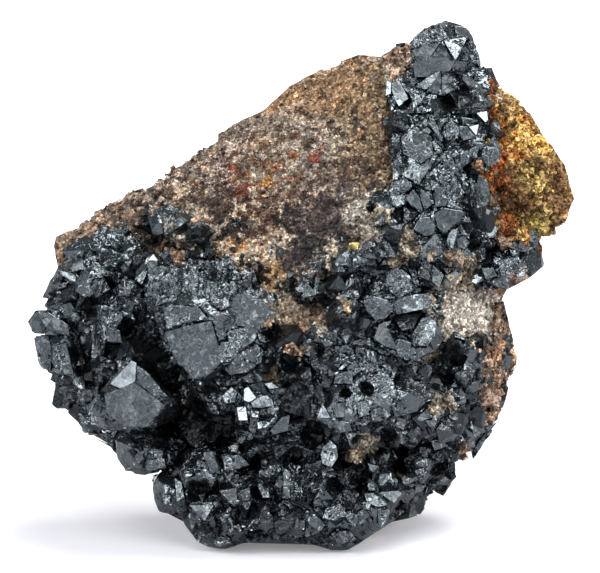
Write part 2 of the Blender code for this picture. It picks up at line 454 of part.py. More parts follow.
# Crystals that wrap round to the hidden sides: (world direction they are seen from, aim, radius)
BACK_CRYSTALS = {
    "back_right_crystals": [((1, 0.7, 0), (24, 22, 30), 1.9), ((1, 0.9, 0), (22, 24, 33), 2.3),
                            ((1, 0.8, 0), (23, 23, 36), 1.7)],
    "back_left_crystals": [((-1, 0.6, 0), (-26, 18, 24), 2.2), ((-1, 0.8, 0), (-24, 20, 27), 1.8),
                           ((-1, 0.5, 0), (-27, 16, 27.5), 1.7)],
    "back_low_crystals": [((0.1, 1, 0), (2, 26, 12), 2.4), ((0, 1, 0), (5, 26, 14.5), 1.8),
                          ((0, 1, 0), (-0.5, 26, 14.5), 1.7)],
}

# Grains of a yellow sulphide on the matrix: (x, h, radius)
BRASSY_GRAINS = {"brassy_grain_upper": (7.6, 42.8, 0.75), "brassy_grain_lower": (14.9, 10, 0.75)}

# How far each set of faces stands from a crystal's middle, as a share of its radius
HABITS = {
    "tetra": {"plus": 0.5, "cube": 0.8},
    "blunt": {"plus": 0.58, "minus": 0.74},
    "dodeca": {"rhomb": 0.8},
}
PLUS_FACES = [(1, 1, 1), (1, -1, -1), (-1, 1, -1), (-1, -1, 1)]
MINUS_FACES = [(-1, -1, -1), (-1, 1, 1), (1, -1, 1), (1, 1, -1)]
CUBE_FACES = [(1, 0, 0), (-1, 0, 0), (0, 1, 0), (0, -1, 0), (0, 0, 1), (0, 0, -1)]
RHOMB_FACES = [(a, b, 0) for a in (1, -1) for b in (1, -1)]
RHOMB_FACES += [(a, 0, b) for a in (1, -1) for b in (1, -1)]
RHOMB_FACES += [(0, a, b) for a in (1, -1) for b in (1, -1)]
FACE_SETS = {"plus": PLUS_FACES, "minus": MINUS_FACES, "cube": CUBE_FACES, "rhomb": RHOMB_FACES}

CRYSTAL_COLOUR = (0.035, 0.038, 0.043, 1)
ROCK_COLOUR = (0.19, 0.155, 0.125, 1)
OCHRE_COLOUR = (0.42, 0.27, 0.11, 1)
BRASS_COLOUR = (0.55, 0.47, 0.2, 1)


def at(x, h, d):
    """World point of a place on the leaning display face, in metres."""
    depth = h * math.sin(DISPLAY_TILT) + d * math.cos(DISPLAY_TILT)
    height = h * math.cos(DISPLAY_TILT) - d * math.sin(DISPLAY_TILT)
    return Vector((x - CENTRE_X, depth - CENTRE_Y, height - BASE_DROP)) * MM


def material(name, colour, roughness, metallic):
    made = bpy.data.materials.new(name)
    made.use_nodes = True
    shader = made.node_tree.nodes["Principled BSDF"]
    shader.inputs["Base Color"].default_value = colour
    shader.inputs["Roughness"].default_value = roughness
    shader.inputs["Metallic"].default_value = metallic
    made.diffuse_color = colour
    return made


def new_object(name, bm, collection, look=None):
    mesh = bpy.data.meshes.new(name)
    bm.to_mesh(mesh)
    bm.free()
    made = bpy.data.objects.new(name, mesh)
    collection.objects.link(made)
    if look:
        mesh.materials.append(look)
    return made


def apply_modifiers(thing):
    """Replace the object's mesh by what its modifiers make of it."""
    graph = bpy.context.evaluated_depsgraph_get()
    graph.update()
    old = thing.data
    thing.data = bpy.data.meshes.new_from_object(thing.evaluated_get(graph))
    thing.modifiers.clear()
    bpy.data.meshes.remove(old)


def is_closed(bm):
    return all(len(edge.link_faces) == 2 and edge.is_contiguous for edge in bm.edges)


def close_seams(thing):
    """Weld the seams of a cut object where that closes it, and say whether it is closed."""
    for weld in SEAM_WELDS:
        bm = bmesh.new()
        bm.from_mesh(thing.data)
        if weld:
            bmesh.ops.remove_doubles(bm, verts=bm.verts, dist=weld)
            bmesh.ops.dissolve_degenerate(bm, edges=bm.edges, dist=weld)
        closed = is_closed(bm)
        if closed and weld:
            bm.to_mesh(thing.data)
        bm.free()
        if closed:
            return True
    return False


def boolean(target, other, operation, crossing=False):
    """Cut or join, and move the other body by a hair where the first try leaves a seam."""
    before = target.data.copy()
    for nudge in NUDGES:
        other.location = Vector(nudge) * MM
        modifier = target.modifiers.new(operation.title(), "BOOLEAN")
        modifier.operation = operation
        modifier.solver = "EXACT"
        modifier.object = other
        modifier.use_self = crossing
        apply_modifiers(target)
        if close_seams(target):
            break
        old = target.data
        target.data = before.copy()
        bpy.data.meshes.remove(old)
    else:
        raise RuntimeError(f"{target.name} {operation} {other.name} leaves a seam")
    other.location = (0, 0, 0)
    bpy.data.meshes.remove(before)


def convex_solid(points):
    """Closed convex body round the points, with nearly flat neighbours joined in one face."""
    bm = bmesh.new()
    for point in points:
        bm.verts.new(point)
    bmesh.ops.convex_hull(bm, input=bm.verts)
    loose = [vert for vert in bm.verts if not vert.link_faces]
    bmesh.ops.delete(bm, geom=loose, context="VERTS")
    bmesh.ops.dissolve_limit(bm, angle_limit=FLAT_ANGLE, verts=bm.verts, edges=bm.edges)
    bmesh.ops.recalc_face_normals(bm, faces=bm.faces)
    return bm


def cut_to_planes(middle, reach, planes):
    """A cube cut down to the half-spaces given as (point, outward normal)."""
    bm = bmesh.new()
    bmesh.ops.create_cube(bm, size=reach)
    bmesh.ops.translate(bm, verts=bm.verts, vec=middle)
    for point, normal in planes:
        geometry = bm.verts[:] + bm.edges[:] + bm.faces[:]
        cut = bmesh.ops.bisect_plane(bm, geom=geometry, plane_co=point, plane_no=normal,
                                     clear_outer=True, dist=1e-7)
        rim = [item for item in cut["geom_cut"] if isinstance(item, bmesh.types.BMEdge)]
        if rim:
            bmesh.ops.edgeloop_fill(bm, edges=rim)
    bmesh.ops.recalc_face_normals(bm, faces=bm.faces)
    return bm


def face_planes(bm, gap):
    """The planes of a convex body, moved outwards by the gap."""
    planes = []
    for face in bm.faces:
        planes.append((face.calc_center_median() + face.normal * gap, face.normal.copy()))
    return planes


def habit_planes(middle, radius, habit, turn):
    planes = []
    for face_set, share in HABITS[habit].items():
        for direction in FACE_SETS[face_set]:
            normal = Vector(direction).normalized()
            normal.rotate(turn)
            planes.append((middle + normal * radius * share, normal))
    return planes


def body_volumes(bm):
    """The separate bodies of a mesh, largest first, as (volume, faces)."""
    left = set(bm.faces)
    bodies = []
    while left:
        stack = [left.pop()]
        body = set(stack)
        while stack:
            for edge in stack.pop().edges:
                for face in edge.link_faces:
                    if face in left:
                        left.remove(face)
                        body.add(face)
                        stack.append(face)
        volume = 0.0
        for face in body:
            corners = [vert.co for vert in face.verts]
            for second, third in zip(corners[1:], corners[2:]):
                volume += corners[0].dot(second.cross(third)) / 6
        bodies.append((volume, body))
    return sorted(bodies, key=lambda entry: -entry[0])


def tidied(thing, weld, merge_faces):
    """The largest body of an object with its seams welded, and the volume of the others."""
    bm = bmesh.new()
    bm.from_mesh(thing.data)
    if weld:
        bmesh.ops.remove_doubles(bm, verts=bm.verts, dist=weld)
    bodies = body_volumes(bm)
    dropped = [face for _, body in bodies[1:] for face in body]
    bmesh.ops.delete(bm, geom=dropped, context="FACES")
    bmesh.ops.dissolve_degenerate(bm, edges=bm.edges, dist=weld)
    if merge_faces:
        bmesh.ops.dissolve_limit(bm, angle_limit=SAME_PLANE, verts=bm.verts, edges=bm.edges)
        bmesh.ops.triangulate(bm, faces=bm.faces)
    return bm, sum(volume for volume, _ in bodies[1:])


def keep_largest_body(thing):
    """Keep only the largest body, with the first way of welding that leaves it closed."""
    for weld, merge_faces in WELDS:
        bm, dropped = tidied(thing, weld, merge_faces)
        if is_closed(bm) and bm.calc_volume(signed=True) > 0:
            break
        bm.free()
    else:
        raise RuntimeError(thing.name + " has open seams")
    volume = bm.calc_volume(signed=True)
    bm.to_mesh(thing.data)
    bm.free()
    return volume, dropped


def reduce_triangles(thing, wanted):
    modifier = thing.modifiers.new("Reduce", "DECIMATE")
    thing.data.calc_loop_triangles()
    modifier.ratio = min(1.0, wanted / max(1, len(thing.data.loop_triangles)))
    apply_modifiers(thing)


def roughen(thing, amount, scale, shift):
    """Push the surface in and out by smooth noise, in millimetres."""
    bm = bmesh.new()
    bm.from_mesh(thing.data)
    bm.normal_update()
    for vert in bm.verts:
        place = vert.co / (scale * MM) + Vector((shift, 0, 0))
        push = noise.noise(place) + 0.5 * noise.noise(place * 2.3)
        vert.co += vert.normal * push * amount * MM
    bm.to_mesh(thing.data)
    bm.free()


def flatten_base(thing):
    """Cut everything below the floor away, which leaves the broken base to stand on."""
    bm = bmesh.new()
    bm.from_mesh(thing.data)
    geometry = bm.verts[:] + bm.edges[:] + bm.faces[:]
    cut = bmesh.ops.bisect_plane(bm, geom=geometry, plane_co=(0, 0, 0), plane_no=(0, 0, -1),
                                 clear_outer=True, dist=1e-6)
    rim = [item for item in cut["geom_cut"] if isinstance(item, bmesh.types.BMEdge)]
    bmesh.ops.holes_fill(bm, edges=rim, sides=0)
    bmesh.ops.triangulate(bm, faces=[face for face in bm.faces if len(face.verts) > 4])
    bmesh.ops.recalc_face_normals(bm, faces=bm.faces)
    bm.to_mesh(thing.data)
    bm.free()


def lumpy_body(name, blocks, voxel, triangles, roughness, collection, look):
    """Blocks grown into one natural body with a rough skin."""
    whole = bmesh.new()
    for corners in blocks:
        block = convex_solid([at(*corner) for corner in corners])
        mesh = bpy.data.meshes.new("block")
        block.to_mesh(mesh)
        block.free()
        whole.from_mesh(mesh)
        bpy.data.meshes.remove(mesh)
    body = new_object(name, whole, collection, look)
    remesh = body.modifiers.new("Remesh", "REMESH")
    remesh.mode = "VOXEL"
    remesh.voxel_size = voxel * MM
    apply_modifiers(body)
    roughen(body, roughness, 5.0, 3.1)
    reduce_triangles(body, triangles)
    return body


def offset_copy(thing, distance, collection):
    """A copy whose skin stands off by the distance, to cut neighbours clear of it."""
    bm = bmesh.new()
    bm.from_mesh(thing.data)
    bm.normal_update()
    for vert in bm.verts:
        vert.co += vert.normal * distance
    copy = new_object(thing.name + "_clearance", bm, collection)
    copy.hide_render = True
    copy.display_type = "WIRE"
    return copy


class Builder:
    """Grows crystals one group after another, each clear of the rock and of earlier groups."""

    def __init__(self, parts, cutters, rock, looks):
        self.parts = parts
        self.cutters = cutters
        self.rock = rock
        self.looks = looks
        self.rock_clearance = offset_copy(rock, 1.45 * GAP * MM, cutters)
        self.coarse_rock = offset_copy(rock, 0, cutters)
        reduce_triangles(self.coarse_rock, BED_TRIANGLES)
        below = bmesh.new()
        bmesh.ops.create_cube(below, size=0.2)
        bmesh.ops.translate(below, verts=below.verts, vec=(0, 0, FLOOR_GAP * MM - 0.1))
        self.floor = self.cutter("floor_clearance", below)
        self.bodies = {}
        self.clearances = {}
        self.bed_spaces = []
        self.grown = []
        self.seats = self.surface_of(rock)
        self.chance = random.Random(SEED)

    def surface_of(self, thing):
        bm = bmesh.new()
        bm.from_mesh(thing.data)
        tree = BVHTree.FromBMesh(bm)
        bm.free()
        return tree

    def seat(self, x, h, rise):
        """Middle of a crystal seen at (x, h), raised by so much from the rock behind it."""
        start = at(x, h, -60)
        towards = (at(x, h, 1) - at(x, h, 0)).normalized()
        hit, _, _, _ = self.seats.ray_cast(start, towards)
        if hit is None:
            hit, _, _, _ = self.seats.find_nearest(at(x, h, 4))
            return at(x, h, 0) + towards * (hit - at(x, h, 0)).dot(towards)
        return hit - towards * (rise + BED_RISE) * MM

    def back_seat(self, seen_from, aim, radius):
        outward = Vector(seen_from).normalized()
        start = Vector(aim) * MM + outward * 60 * MM
        hit, _, _, _ = self.seats.ray_cast(start, -outward)
        return hit + outward * radius * 0.3 * MM

    def habit_crystal(self, middle, radius):
        habit = self.chance.choice(["tetra", "blunt", "blunt", "dodeca"])
        turn = Euler([self.chance.uniform(0, math.tau) for _ in range(3)])
        return cut_to_planes(middle, radius * MM * 3, habit_planes(middle, radius * MM, habit, turn))

    def cutter(self, name, bm):
        """A helper body that only cuts others."""
        made = new_object(name, bm, self.cutters)
        made.hide_render = True
        made.display_type = "WIRE"
        return made

    def cut_clear(self, thing, names):
        """Cut the object clear of the crystals of the named groups."""
        for name in names:
            for cutter in self.clearances[name]:
                if self.boxes_meet(thing, cutter):
                    boolean(thing, cutter, "DIFFERENCE")

    def plan(self, name, bodies):
        """Take the bodies of one group, and keep the space round each of them free."""
        self.bodies[name] = bodies
        self.clearances[name] = []
        for number, bm in enumerate(bodies):
            planes = face_planes(bm, GAP * MM)
            middle = sum((point for point, _ in planes), Vector()) / len(planes)
            clearance = cut_to_planes(middle, 60 * MM, planes)
            cutter = self.cutter(f"{name}_clearance_{number}", clearance)
            self.clearances[name].append(cutter)

    def grow(self, name, look, bed=None):
        """Join one group and its bed in one solid, clear of the rock and of earlier groups."""
        solids = [new_object(name, bm, self.cutters, look) for bm in self.bodies[name]]
        if bed:
            solids.insert(0, bed)
        group = solids[0]
        for other in solids[1:]:
            boolean(group, other, "UNION")
            bpy.data.objects.remove(other)
        self.cut_clear(group, self.grown)
        boolean(group, self.rock_clearance, "DIFFERENCE")
        boolean(group, self.floor, "DIFFERENCE")
        volume, dropped = keep_largest_body(group)
        self.cutters.objects.unlink(group)
        self.parts.objects.link(group)
        group.name = name
        self.grown.append(name)
        print(name, "mm3", round(volume * 1e9, 1), "dropped", round(dropped * 1e9, 1))

    def prism(self, outline, gap):
        """The space in front of and just behind an outline on the display face."""
        near = [at(x, h, -40) for x, h in outline]
        far = [at(x, h, BED_BACK) for x, h in outline]
        bm = convex_solid(near + far)
        if not gap:
            return bm
        middle = sum((vert.co for vert in bm.verts), Vector()) / len(bm.verts)
        return cut_to_planes(middle, 200 * MM, face_planes(bm, gap * MM))

    def bed(self, name, shift, outline, look):
        """A crust over the rock, which holds the crystals of one group together."""
        bm = bmesh.new()
        bm.from_mesh(self.coarse_rock.data)
        bmesh.ops.translate(bm, verts=bm.verts, vec=at(*shift) - at(0, 0, 0))
        bed = new_object(name, bm, self.cutters, look)
        boolean(bed, self.cutter(name + "_outline", self.prism(outline, 0)), "INTERSECT", True)
        for space in self.bed_spaces:
            if self.boxes_meet(bed, space):
                boolean(bed, space, "DIFFERENCE")
        later = [other for other in self.clearances if other != name and other not in self.grown]
        self.cut_clear(bed, later)
        self.bed_spaces.append(self.cutter(name + "_space", self.prism(outline, GAP)))
        return bed

    def boxes_meet(self, first, second):
        low_a, high_a = self.box(first)
        low_b, high_b = self.box(second)
        return all(low_a[i] < high_b[i] and low_b[i] < high_a[i] for i in range(3))

    def box(self, thing):
        points = [vert.co for vert in thing.data.vertices]
        if not points:
            return Vector((1, 1, 1)), Vector((0, 0, 0))
        low = [min(point[i] for point in points) for i in range(3)]
        high = [max(point[i] for point in points) for i in range(3)]
        return low, high


def shaped_crystal(corners, root):
    """Crystal with its visible corners, and a narrower root that runs back into the rock."""
    count = len(corners)
    middle = [sum(corner[i] for corner in corners) / count for i in range(3)]
    points = [at(*corner) for corner in corners]
    for corner in corners:
        spot = [middle[i] + (corner[i] - middle[i]) * ROOT_SHARE + root[i] for i in range(3)]
        spot[2] = max(spot[2], corner[2])
        points.append(at(*spot))
    return convex_solid(points)


def clear_file():
    for thing in list(bpy.data.objects):
        bpy.data.objects.remove(thing)


def new_collection(name):
    made = bpy.data.collections.new(name)
    bpy.context.scene.collection.children.link(made)
    return made


def main():
    clear_file()
    parts = new_collection("sphalerite_specimen")
    cutters = new_collection("cutters")
    looks = {
        "crystal": material("black_sphalerite", CRYSTAL_COLOUR, 0.2, 0.0),
        "rock": material("host_rock", ROCK_COLOUR, 0.9, 0.0),
        "ochre": material("ochre_quartz", OCHRE_COLOUR, 0.7, 0.0),
        "brass": material("brassy_sulphide", BRASS_COLOUR, 0.3, 0.9),
    }
    rock = lumpy_body("host_rock", ROCK_BLOCKS.values(), ROCK_VOXEL, ROCK_TRIANGLES,
                      ROCK_ROUGHNESS, parts, looks["rock"])
    flatten_base(rock)
    keep_largest_body(rock)

    builder = Builder(parts, cutters, rock, looks)
    lobe = lumpy_body("ochre_quartz", [OCHRE_LOBE], 0.9, LOBE_TRIANGLES, 0.8, cutters,
                      looks["ochre"])
    boolean(lobe, builder.rock_clearance, "DIFFERENCE")
    keep_largest_body(lobe)
    cutters.objects.unlink(lobe)
    parts.objects.link(lobe)
    builder.clearances["ochre_quartz"] = [offset_copy(lobe, 1.45 * GAP * MM, cutters)]
    builder.grown.append("ochre_quartz")

    for name, (x, h, radius) in BRASSY_GRAINS.items():
        middle = builder.seat(x, h, 0.5 - BED_RISE)
        builder.plan(name, [builder.habit_crystal(middle, radius)])
        builder.grow(name, looks["brass"])
    for name in BEDS:
        bodies = []
        for corners, root in SHAPED_CRYSTALS.get(name, []):
            bodies.append(shaped_crystal(corners, root))
        for x, h, radius, rise in SEATED_CRYSTALS.get(name, []):
            bodies.append(builder.habit_crystal(builder.seat(x, h, rise), radius))
        builder.plan(name, bodies)
    for name, crystals in BACK_CRYSTALS.items():
        bodies = []
        for seen_from, aim, radius in crystals:
            middle = builder.back_seat(seen_from, aim, radius)
            bodies.append(builder.habit_crystal(middle, radius))
        builder.plan(name, bodies)
        builder.grow(name, looks["crystal"])
    for name, (shift, outline) in BEDS.items():
        bed = builder.bed(name, shift, outline, looks["crystal"])
        builder.grow(name, looks["crystal"], bed)

    for cutter in cutters.objects:
        cutter.hide_render = True
        cutter.display_type = "WIRE"
    total = sum(len(thing.data.loop_triangles) for thing in parts.objects)
    print("parts", len(parts.objects), "triangles", total)


main()
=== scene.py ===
# %% [markdown]
# # A sphalerite specimen
# Black sphalerite crystals cover the front of a broken brown rock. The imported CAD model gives
# every piece its place: the rock, an ochre quartz lobe, and the groups of crystals. This lesson
# gives them the surfaces of the real specimen. Thousands of small crystals grow on the dark
# crust, the rock gets its grain and stains, and the lobe its rusty quartz skin.

import math
import random

import bmesh
import bpy
import numpy as np
from mathutils import Euler, Matrix, Quaternion, Vector, noise
from mathutils.bvhtree import BVHTree
from mathutils.kdtree import KDTree


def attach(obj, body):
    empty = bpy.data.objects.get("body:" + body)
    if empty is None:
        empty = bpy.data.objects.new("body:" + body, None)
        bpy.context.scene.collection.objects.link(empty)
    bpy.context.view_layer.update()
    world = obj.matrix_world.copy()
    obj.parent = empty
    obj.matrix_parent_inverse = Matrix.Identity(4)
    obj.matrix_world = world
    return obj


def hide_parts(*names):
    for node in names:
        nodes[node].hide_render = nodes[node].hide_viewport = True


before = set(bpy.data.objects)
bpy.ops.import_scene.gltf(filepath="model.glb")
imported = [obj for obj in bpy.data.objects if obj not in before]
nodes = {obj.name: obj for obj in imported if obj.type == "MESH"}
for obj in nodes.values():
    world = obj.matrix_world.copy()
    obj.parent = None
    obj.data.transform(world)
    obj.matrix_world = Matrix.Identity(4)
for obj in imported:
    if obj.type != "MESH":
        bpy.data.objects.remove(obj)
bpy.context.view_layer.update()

# %% [markdown]
# ## Places on the display face
# The front of the specimen leans back by 12 degrees. Places on it are easiest to give as seen
# from the front: x to the right, h up the leaning face and d away from the viewer, all in
# millimetres. Two small functions turn such a place into a world point and back.

# %% Places on the leaning face
MM = 0.001
TILT = math.radians(12)
CENTRE_X = 0.34
CENTRE_Y = 5.28
BASE_DROP = 2.1


def at(x, h, d):
    depth = h * math.sin(TILT) + d * math.cos(TILT)
    height = h * math.cos(TILT) - d * math.sin(TILT)
    return Vector((x - CENTRE_X, depth - CENTRE_Y, height - BASE_DROP)) * MM


def place_of(point):
    depth = point[1] / MM + CENTRE_Y
    height = point[2] / MM + BASE_DROP
    h = depth * math.sin(TILT) + height * math.cos(TILT)
    d = depth * math.cos(TILT) - height * math.sin(TILT)
    return point[0] / MM + CENTRE_X, h, d


to_eye = Vector((0, -math.cos(TILT), math.sin(TILT)))
print("middle of the face", [round(v, 4) for v in at(0, 37, 0)])

# %% [markdown]
# ## Lamps and walls
# The light of the photo is soft and comes from above, behind and to the right, because the
# shadow falls to the left. A black crystal shows nothing but what it mirrors, so the dim walls
# of the tent matter as much as the lamps. Between them it is dark.

# %% Lamps and walls
LAMPS = {
    # name: place (m), size (m), radiance
    "top_light": ((0.2, 0.12, 0.6), (0.5, 0.4), 8.0),
    "front_top_light": ((-0.12, -0.5, 0.62), (0.38, 0.22), 8.0),
    "left_light": ((-0.6, -0.2, 0.3), (0.26, 0.42), 6.5),
    "right_light": ((0.6, -0.15, 0.3), (0.24, 0.36), 6.5),
    "left_wall": ((-0.75, -0.8, 0.35), (0.6, 0.6), 3.2),
    "front_wall": ((0.0, -1.35, 0.35), (0.75, 0.6), 1.2),
    "dim_wall": ((0.55, -1.05, 0.2), (0.65, 0.65), 0.62),
    "right_wall": ((0.85, -0.75, 0.3), (0.5, 0.5), 2.4),
    "high_wall": ((0.35, -0.75, 0.75), (0.34, 0.34), 2.6),
}
print("lamps and walls", len(LAMPS))

# %% [markdown]
# ## Helpers for meshes
# A CAD node's mesh is loose triangles, so a copy of it is merged before anything else is done
# to it. A finished piece replaces its node and rides on the one body there is.

# %% The edge of the specimen
OUTLINE = [
    # the specimen's edge as seen from the front (x, h)
    (20.9, 75.3), (17.9, 74.1), (15.6, 72), (14, 71.9), (12.1, 70.1), (8.6, 70.4), (3.6, 68.7),
    (-1.3, 66), (-5.1, 62.4), (-9.6, 60.4), (-12.9, 58.3), (-18.3, 55.9), (-22.6, 51.3),
    (-25.1, 51), (-29.7, 48.3), (-32.1, 45.7), (-35, 44.4), (-35.3, 43), (-34.4, 39.7),
    (-35.7, 37.9), (-37.1, 35.1), (-38.6, 32.4), (-37.7, 30.4), (-36.9, 25.6), (-37, 21.4),
    (-34.7, 18.7), (-30, 16.3), (-27.9, 16.6), (-26, 13.4), (-24.9, 11.4), (-21, 10.3),
    (-20.7, 7.7), (-19.9, 5.6), (-16.6, 4.7), (-14.4, 1.4), (-11.4, 0), (-7.9, 1.4), (2, 1.1),
    (5.9, -0.3), (8, 1.1), (12.6, 4), (18.9, 5.3), (20.6, 7.7), (21.9, 10), (24.1, 11.6),
    (25.7, 14.3), (26.9, 16), (28.4, 17.1), (30.7, 23.6), (31, 27.4), (29.3, 33.4), (28.7, 36.7),
    (32.9, 38.9), (34.7, 40.4), (34.4, 43.3), (37.3, 45.4), (39, 49.9), (37.7, 54.7), (34.7, 58.6),
    (32.3, 63.3), (27.7, 66.9), (27.1, 69.9), (25.4, 70.3), (24.9, 72.9), (23.3, 74.7),
]
EDGE_MARGIN = 0.15
EDGE_PULL = 0.88


def trim(mesh):
    """Draw back what stands outside the outline or below the floor."""
    count = len(mesh.vertices)
    flat = np.empty(count * 3)
    mesh.vertices.foreach_get("co", flat)
    points = flat.reshape(count, 3)
    depth = points[:, 1] / MM + CENTRE_Y
    height = points[:, 2] / MM + BASE_DROP
    seen = np.stack([points[:, 0] / MM + CENTRE_X,
                     depth * math.sin(TILT) + height * math.cos(TILT)], axis=1)
    edge = np.array(OUTLINE)
    ends = np.roll(edge, -1, axis=0)
    inside = np.zeros(count, bool)
    nearest = np.full(count, np.inf)
    pull = np.zeros((count, 2))
    for first, last in zip(edge, ends):
        run = last - first
        between = (first[1] > seen[:, 1]) != (last[1] > seen[:, 1])
        rise = np.where(run[1] == 0, 1e-9, run[1])
        crossing = run[0] * (seen[:, 1] - first[1]) / rise + first[0]
        inside ^= between & (seen[:, 0] < crossing)
        share = np.clip((seen - first) @ run / (run @ run), 0, 1)
        foot = first + share[:, None] * run
        away = np.linalg.norm(seen - foot, axis=1)
        closer = away < nearest
        nearest[closer] = away[closer]
        pull[closer] = (foot - seen)[closer]
    over = ~inside & (nearest > EDGE_MARGIN)
    share = np.where(over, 1 - EDGE_MARGIN / np.maximum(nearest, EDGE_MARGIN), 0)
    pull *= share[:, None] * EDGE_PULL
    points[:, 0] += pull[:, 0] * MM
    points[:, 1] += pull[:, 1] * math.sin(TILT) * MM
    points[:, 2] += pull[:, 1] * math.cos(TILT) * MM
    points[:, 2] = np.maximum(points[:, 2], 0.0)
    mesh.vertices.foreach_set("co", points.ravel())


# %% Copies and finished pieces


def merged_copy(name):
    bm = bmesh.new()
    bm.from_mesh(nodes[name].data)
    bmesh.ops.remove_doubles(bm, verts=bm.verts, dist=1e-6)
    return bm


def piece_from(name, bm, looks, smooth=False):
    mesh = bpy.data.meshes.new(name + "_skin")
    bm.to_mesh(mesh)
    bm.free()
    mesh.validate()
    trim(mesh)
    for look in looks:
        mesh.materials.append(look)
    for face in mesh.polygons:
        face.use_smooth = smooth
    piece = bpy.data.objects.new(name + "_skin", mesh)
    bpy.context.scene.collection.objects.link(piece)
    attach(piece, "root")
    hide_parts(name)
    return piece


def remeshed(bm, voxel):
    """The same body with an even net of small faces."""
    mesh = bpy.data.meshes.new("rough_copy")
    bm.to_mesh(mesh)
    bm.free()
    thing = bpy.data.objects.new("rough_copy", mesh)
    bpy.context.scene.collection.objects.link(thing)
    modifier = thing.modifiers.new("Even net", "REMESH")
    modifier.mode = "VOXEL"
    modifier.voxel_size = voxel * MM
    graph = bpy.context.evaluated_depsgraph_get()
    graph.update()
    even = bmesh.new()
    even.from_object(thing, graph)
    bpy.data.objects.remove(thing)
    bpy.data.meshes.remove(mesh)
    return even


def search_tree(names):
    """A tree for casting rays at several nodes together."""
    together = bmesh.new()
    for name in names:
        together.from_mesh(nodes[name].data)
    tree = BVHTree.FromBMesh(together)
    together.free()
    return tree


rock_tree = search_tree(["host_rock"])
lobe_tree = search_tree(["host_rock", "ochre_quartz"])


def fade(value, low, high):
    """0 below low, 1 above high, and a soft step between."""
    share = min(1.0, max(0.0, (value - low) / (high - low)))
    return share * share * (3 - 2 * share)


# %% [markdown]
# ## Shader groups
# Three effects are used by more than one material, so each is a node group. A soft patch is a
# ragged mask round a centre, for stains. Grain mixes light and dark specks, as in a sugary
# rock. Growth relief is the faint waviness and striation of crystal faces.

# %% A small builder for node groups


class Nodes:
    """Adds and links the nodes of one tree."""

    def __init__(self, tree):
        self.tree = tree
        self.made = 0

    def add(self, kind, inputs=None, **settings):
        node = self.tree.nodes.new(kind)
        node.location = (self.made % 8 * 190, -(self.made // 8) * 260)
        self.made += 1
        for key, value in settings.items():
            setattr(node, key, value)
        for key, value in (inputs or {}).items():
            self.join(value, node.inputs[key])
        return node

    def join(self, value, socket):
        if isinstance(value, bpy.types.NodeSocket):
            self.tree.links.new(value, socket)
        else:
            socket.default_value = value

    def math(self, operation, first, second=0.5, clamp=False):
        node = self.add("ShaderNodeMath", {0: first, 1: second}, operation=operation)
        node.use_clamp = clamp
        return node.outputs[0]

    def ramp(self, value, low, high, to_low=0.0, to_high=1.0):
        node = self.add("ShaderNodeMapRange", {"Value": value, "From Min": low, "From Max": high,
                                               "To Min": to_low, "To Max": to_high})
        node.interpolation_type = "SMOOTHSTEP"
        return node.outputs["Result"]

    def mix(self, share, first, second, blend="MIX"):
        node = self.add("ShaderNodeMix", data_type="RGBA", blend_type=blend)
        self.join(share, node.inputs["Factor"])
        self.join(first, node.inputs[6])
        self.join(second, node.inputs[7])
        return node.outputs[2]

    def group(self, tree, inputs):
        node = self.add("ShaderNodeGroup", node_tree=tree)
        for key, value in inputs.items():
            self.join(value, node.inputs[key])
        return node


def new_group(name, inputs, outputs):
    tree = bpy.data.node_groups.new(name, "ShaderNodeTree")
    for label, kind, value in inputs:
        socket = tree.interface.new_socket(label, in_out="INPUT", socket_type=kind)
        socket.default_value = value
    for label, kind in outputs:
        tree.interface.new_socket(label, in_out="OUTPUT", socket_type=kind)
    build = Nodes(tree)
    entry = build.add("NodeGroupInput")
    leave = build.add("NodeGroupOutput")
    return tree, build, entry.outputs, leave.inputs


# %% Soft patch
patch_group, n, given, out = new_group(
    "soft_patch",
    [("Centre", "NodeSocketVector", (0, 0, 0)), ("Radius", "NodeSocketFloat", 0.005),
     ("Ragged", "NodeSocketFloat", 0.5), ("Scale", "NodeSocketFloat", 600.0)],
    [("Mask", "NodeSocketFloat")])
spot = n.add("ShaderNodeTexCoord").outputs["Object"]
away = n.add("ShaderNodeVectorMath", {0: spot, 1: given["Centre"]}, operation="DISTANCE")
share = n.math("DIVIDE", away.outputs["Value"], given["Radius"])
cloud = n.add("ShaderNodeTexNoise", {"Vector": spot, "Scale": given["Scale"], "Detail": 5.0,
                                     "Roughness": 0.65})
wobble = n.math("MULTIPLY", n.math("SUBTRACT", cloud.outputs["Fac"], 0.5), given["Ragged"])
n.join(n.ramp(n.math("ADD", share, n.math("MULTIPLY", wobble, 4.0)), 1.05, 0.7), out["Mask"])
print("group", patch_group.name)

# %% Grain
grain_group, n, given, out = new_group(
    "sugary_grain",
    [("Scale", "NodeSocketFloat", 1500.0), ("Dark Share", "NodeSocketFloat", 0.3),
     ("Light Share", "NodeSocketFloat", 0.3)],
    [("Dark", "NodeSocketFloat"), ("Light", "NodeSocketFloat"), ("Height", "NodeSocketFloat")])
spot = n.add("ShaderNodeTexCoord").outputs["Object"]
cells = n.add("ShaderNodeTexVoronoi", {"Vector": spot, "Scale": given["Scale"]})
shade = n.add("ShaderNodeSeparateColor", {"Color": cells.outputs["Color"]})
fine = n.add("ShaderNodeTexNoise", {"Vector": spot, "Scale": n.math("MULTIPLY", given["Scale"], 0.2),
                                    "Detail": 6.0, "Roughness": 0.75})
dark = n.math("LESS_THAN", n.math("ADD", shade.outputs["Red"], n.math("SUBTRACT", fine.outputs["Fac"], 0.5)),
              given["Dark Share"])
light = n.math("LESS_THAN", n.math("ADD", shade.outputs["Green"], n.math("SUBTRACT", 0.5, fine.outputs["Fac"])),
               given["Light Share"])
n.join(dark, out["Dark"])
n.join(light, out["Light"])
bumps = n.math("MULTIPLY", n.math("SUBTRACT", 1.0, cells.outputs["Distance"]), 0.5)
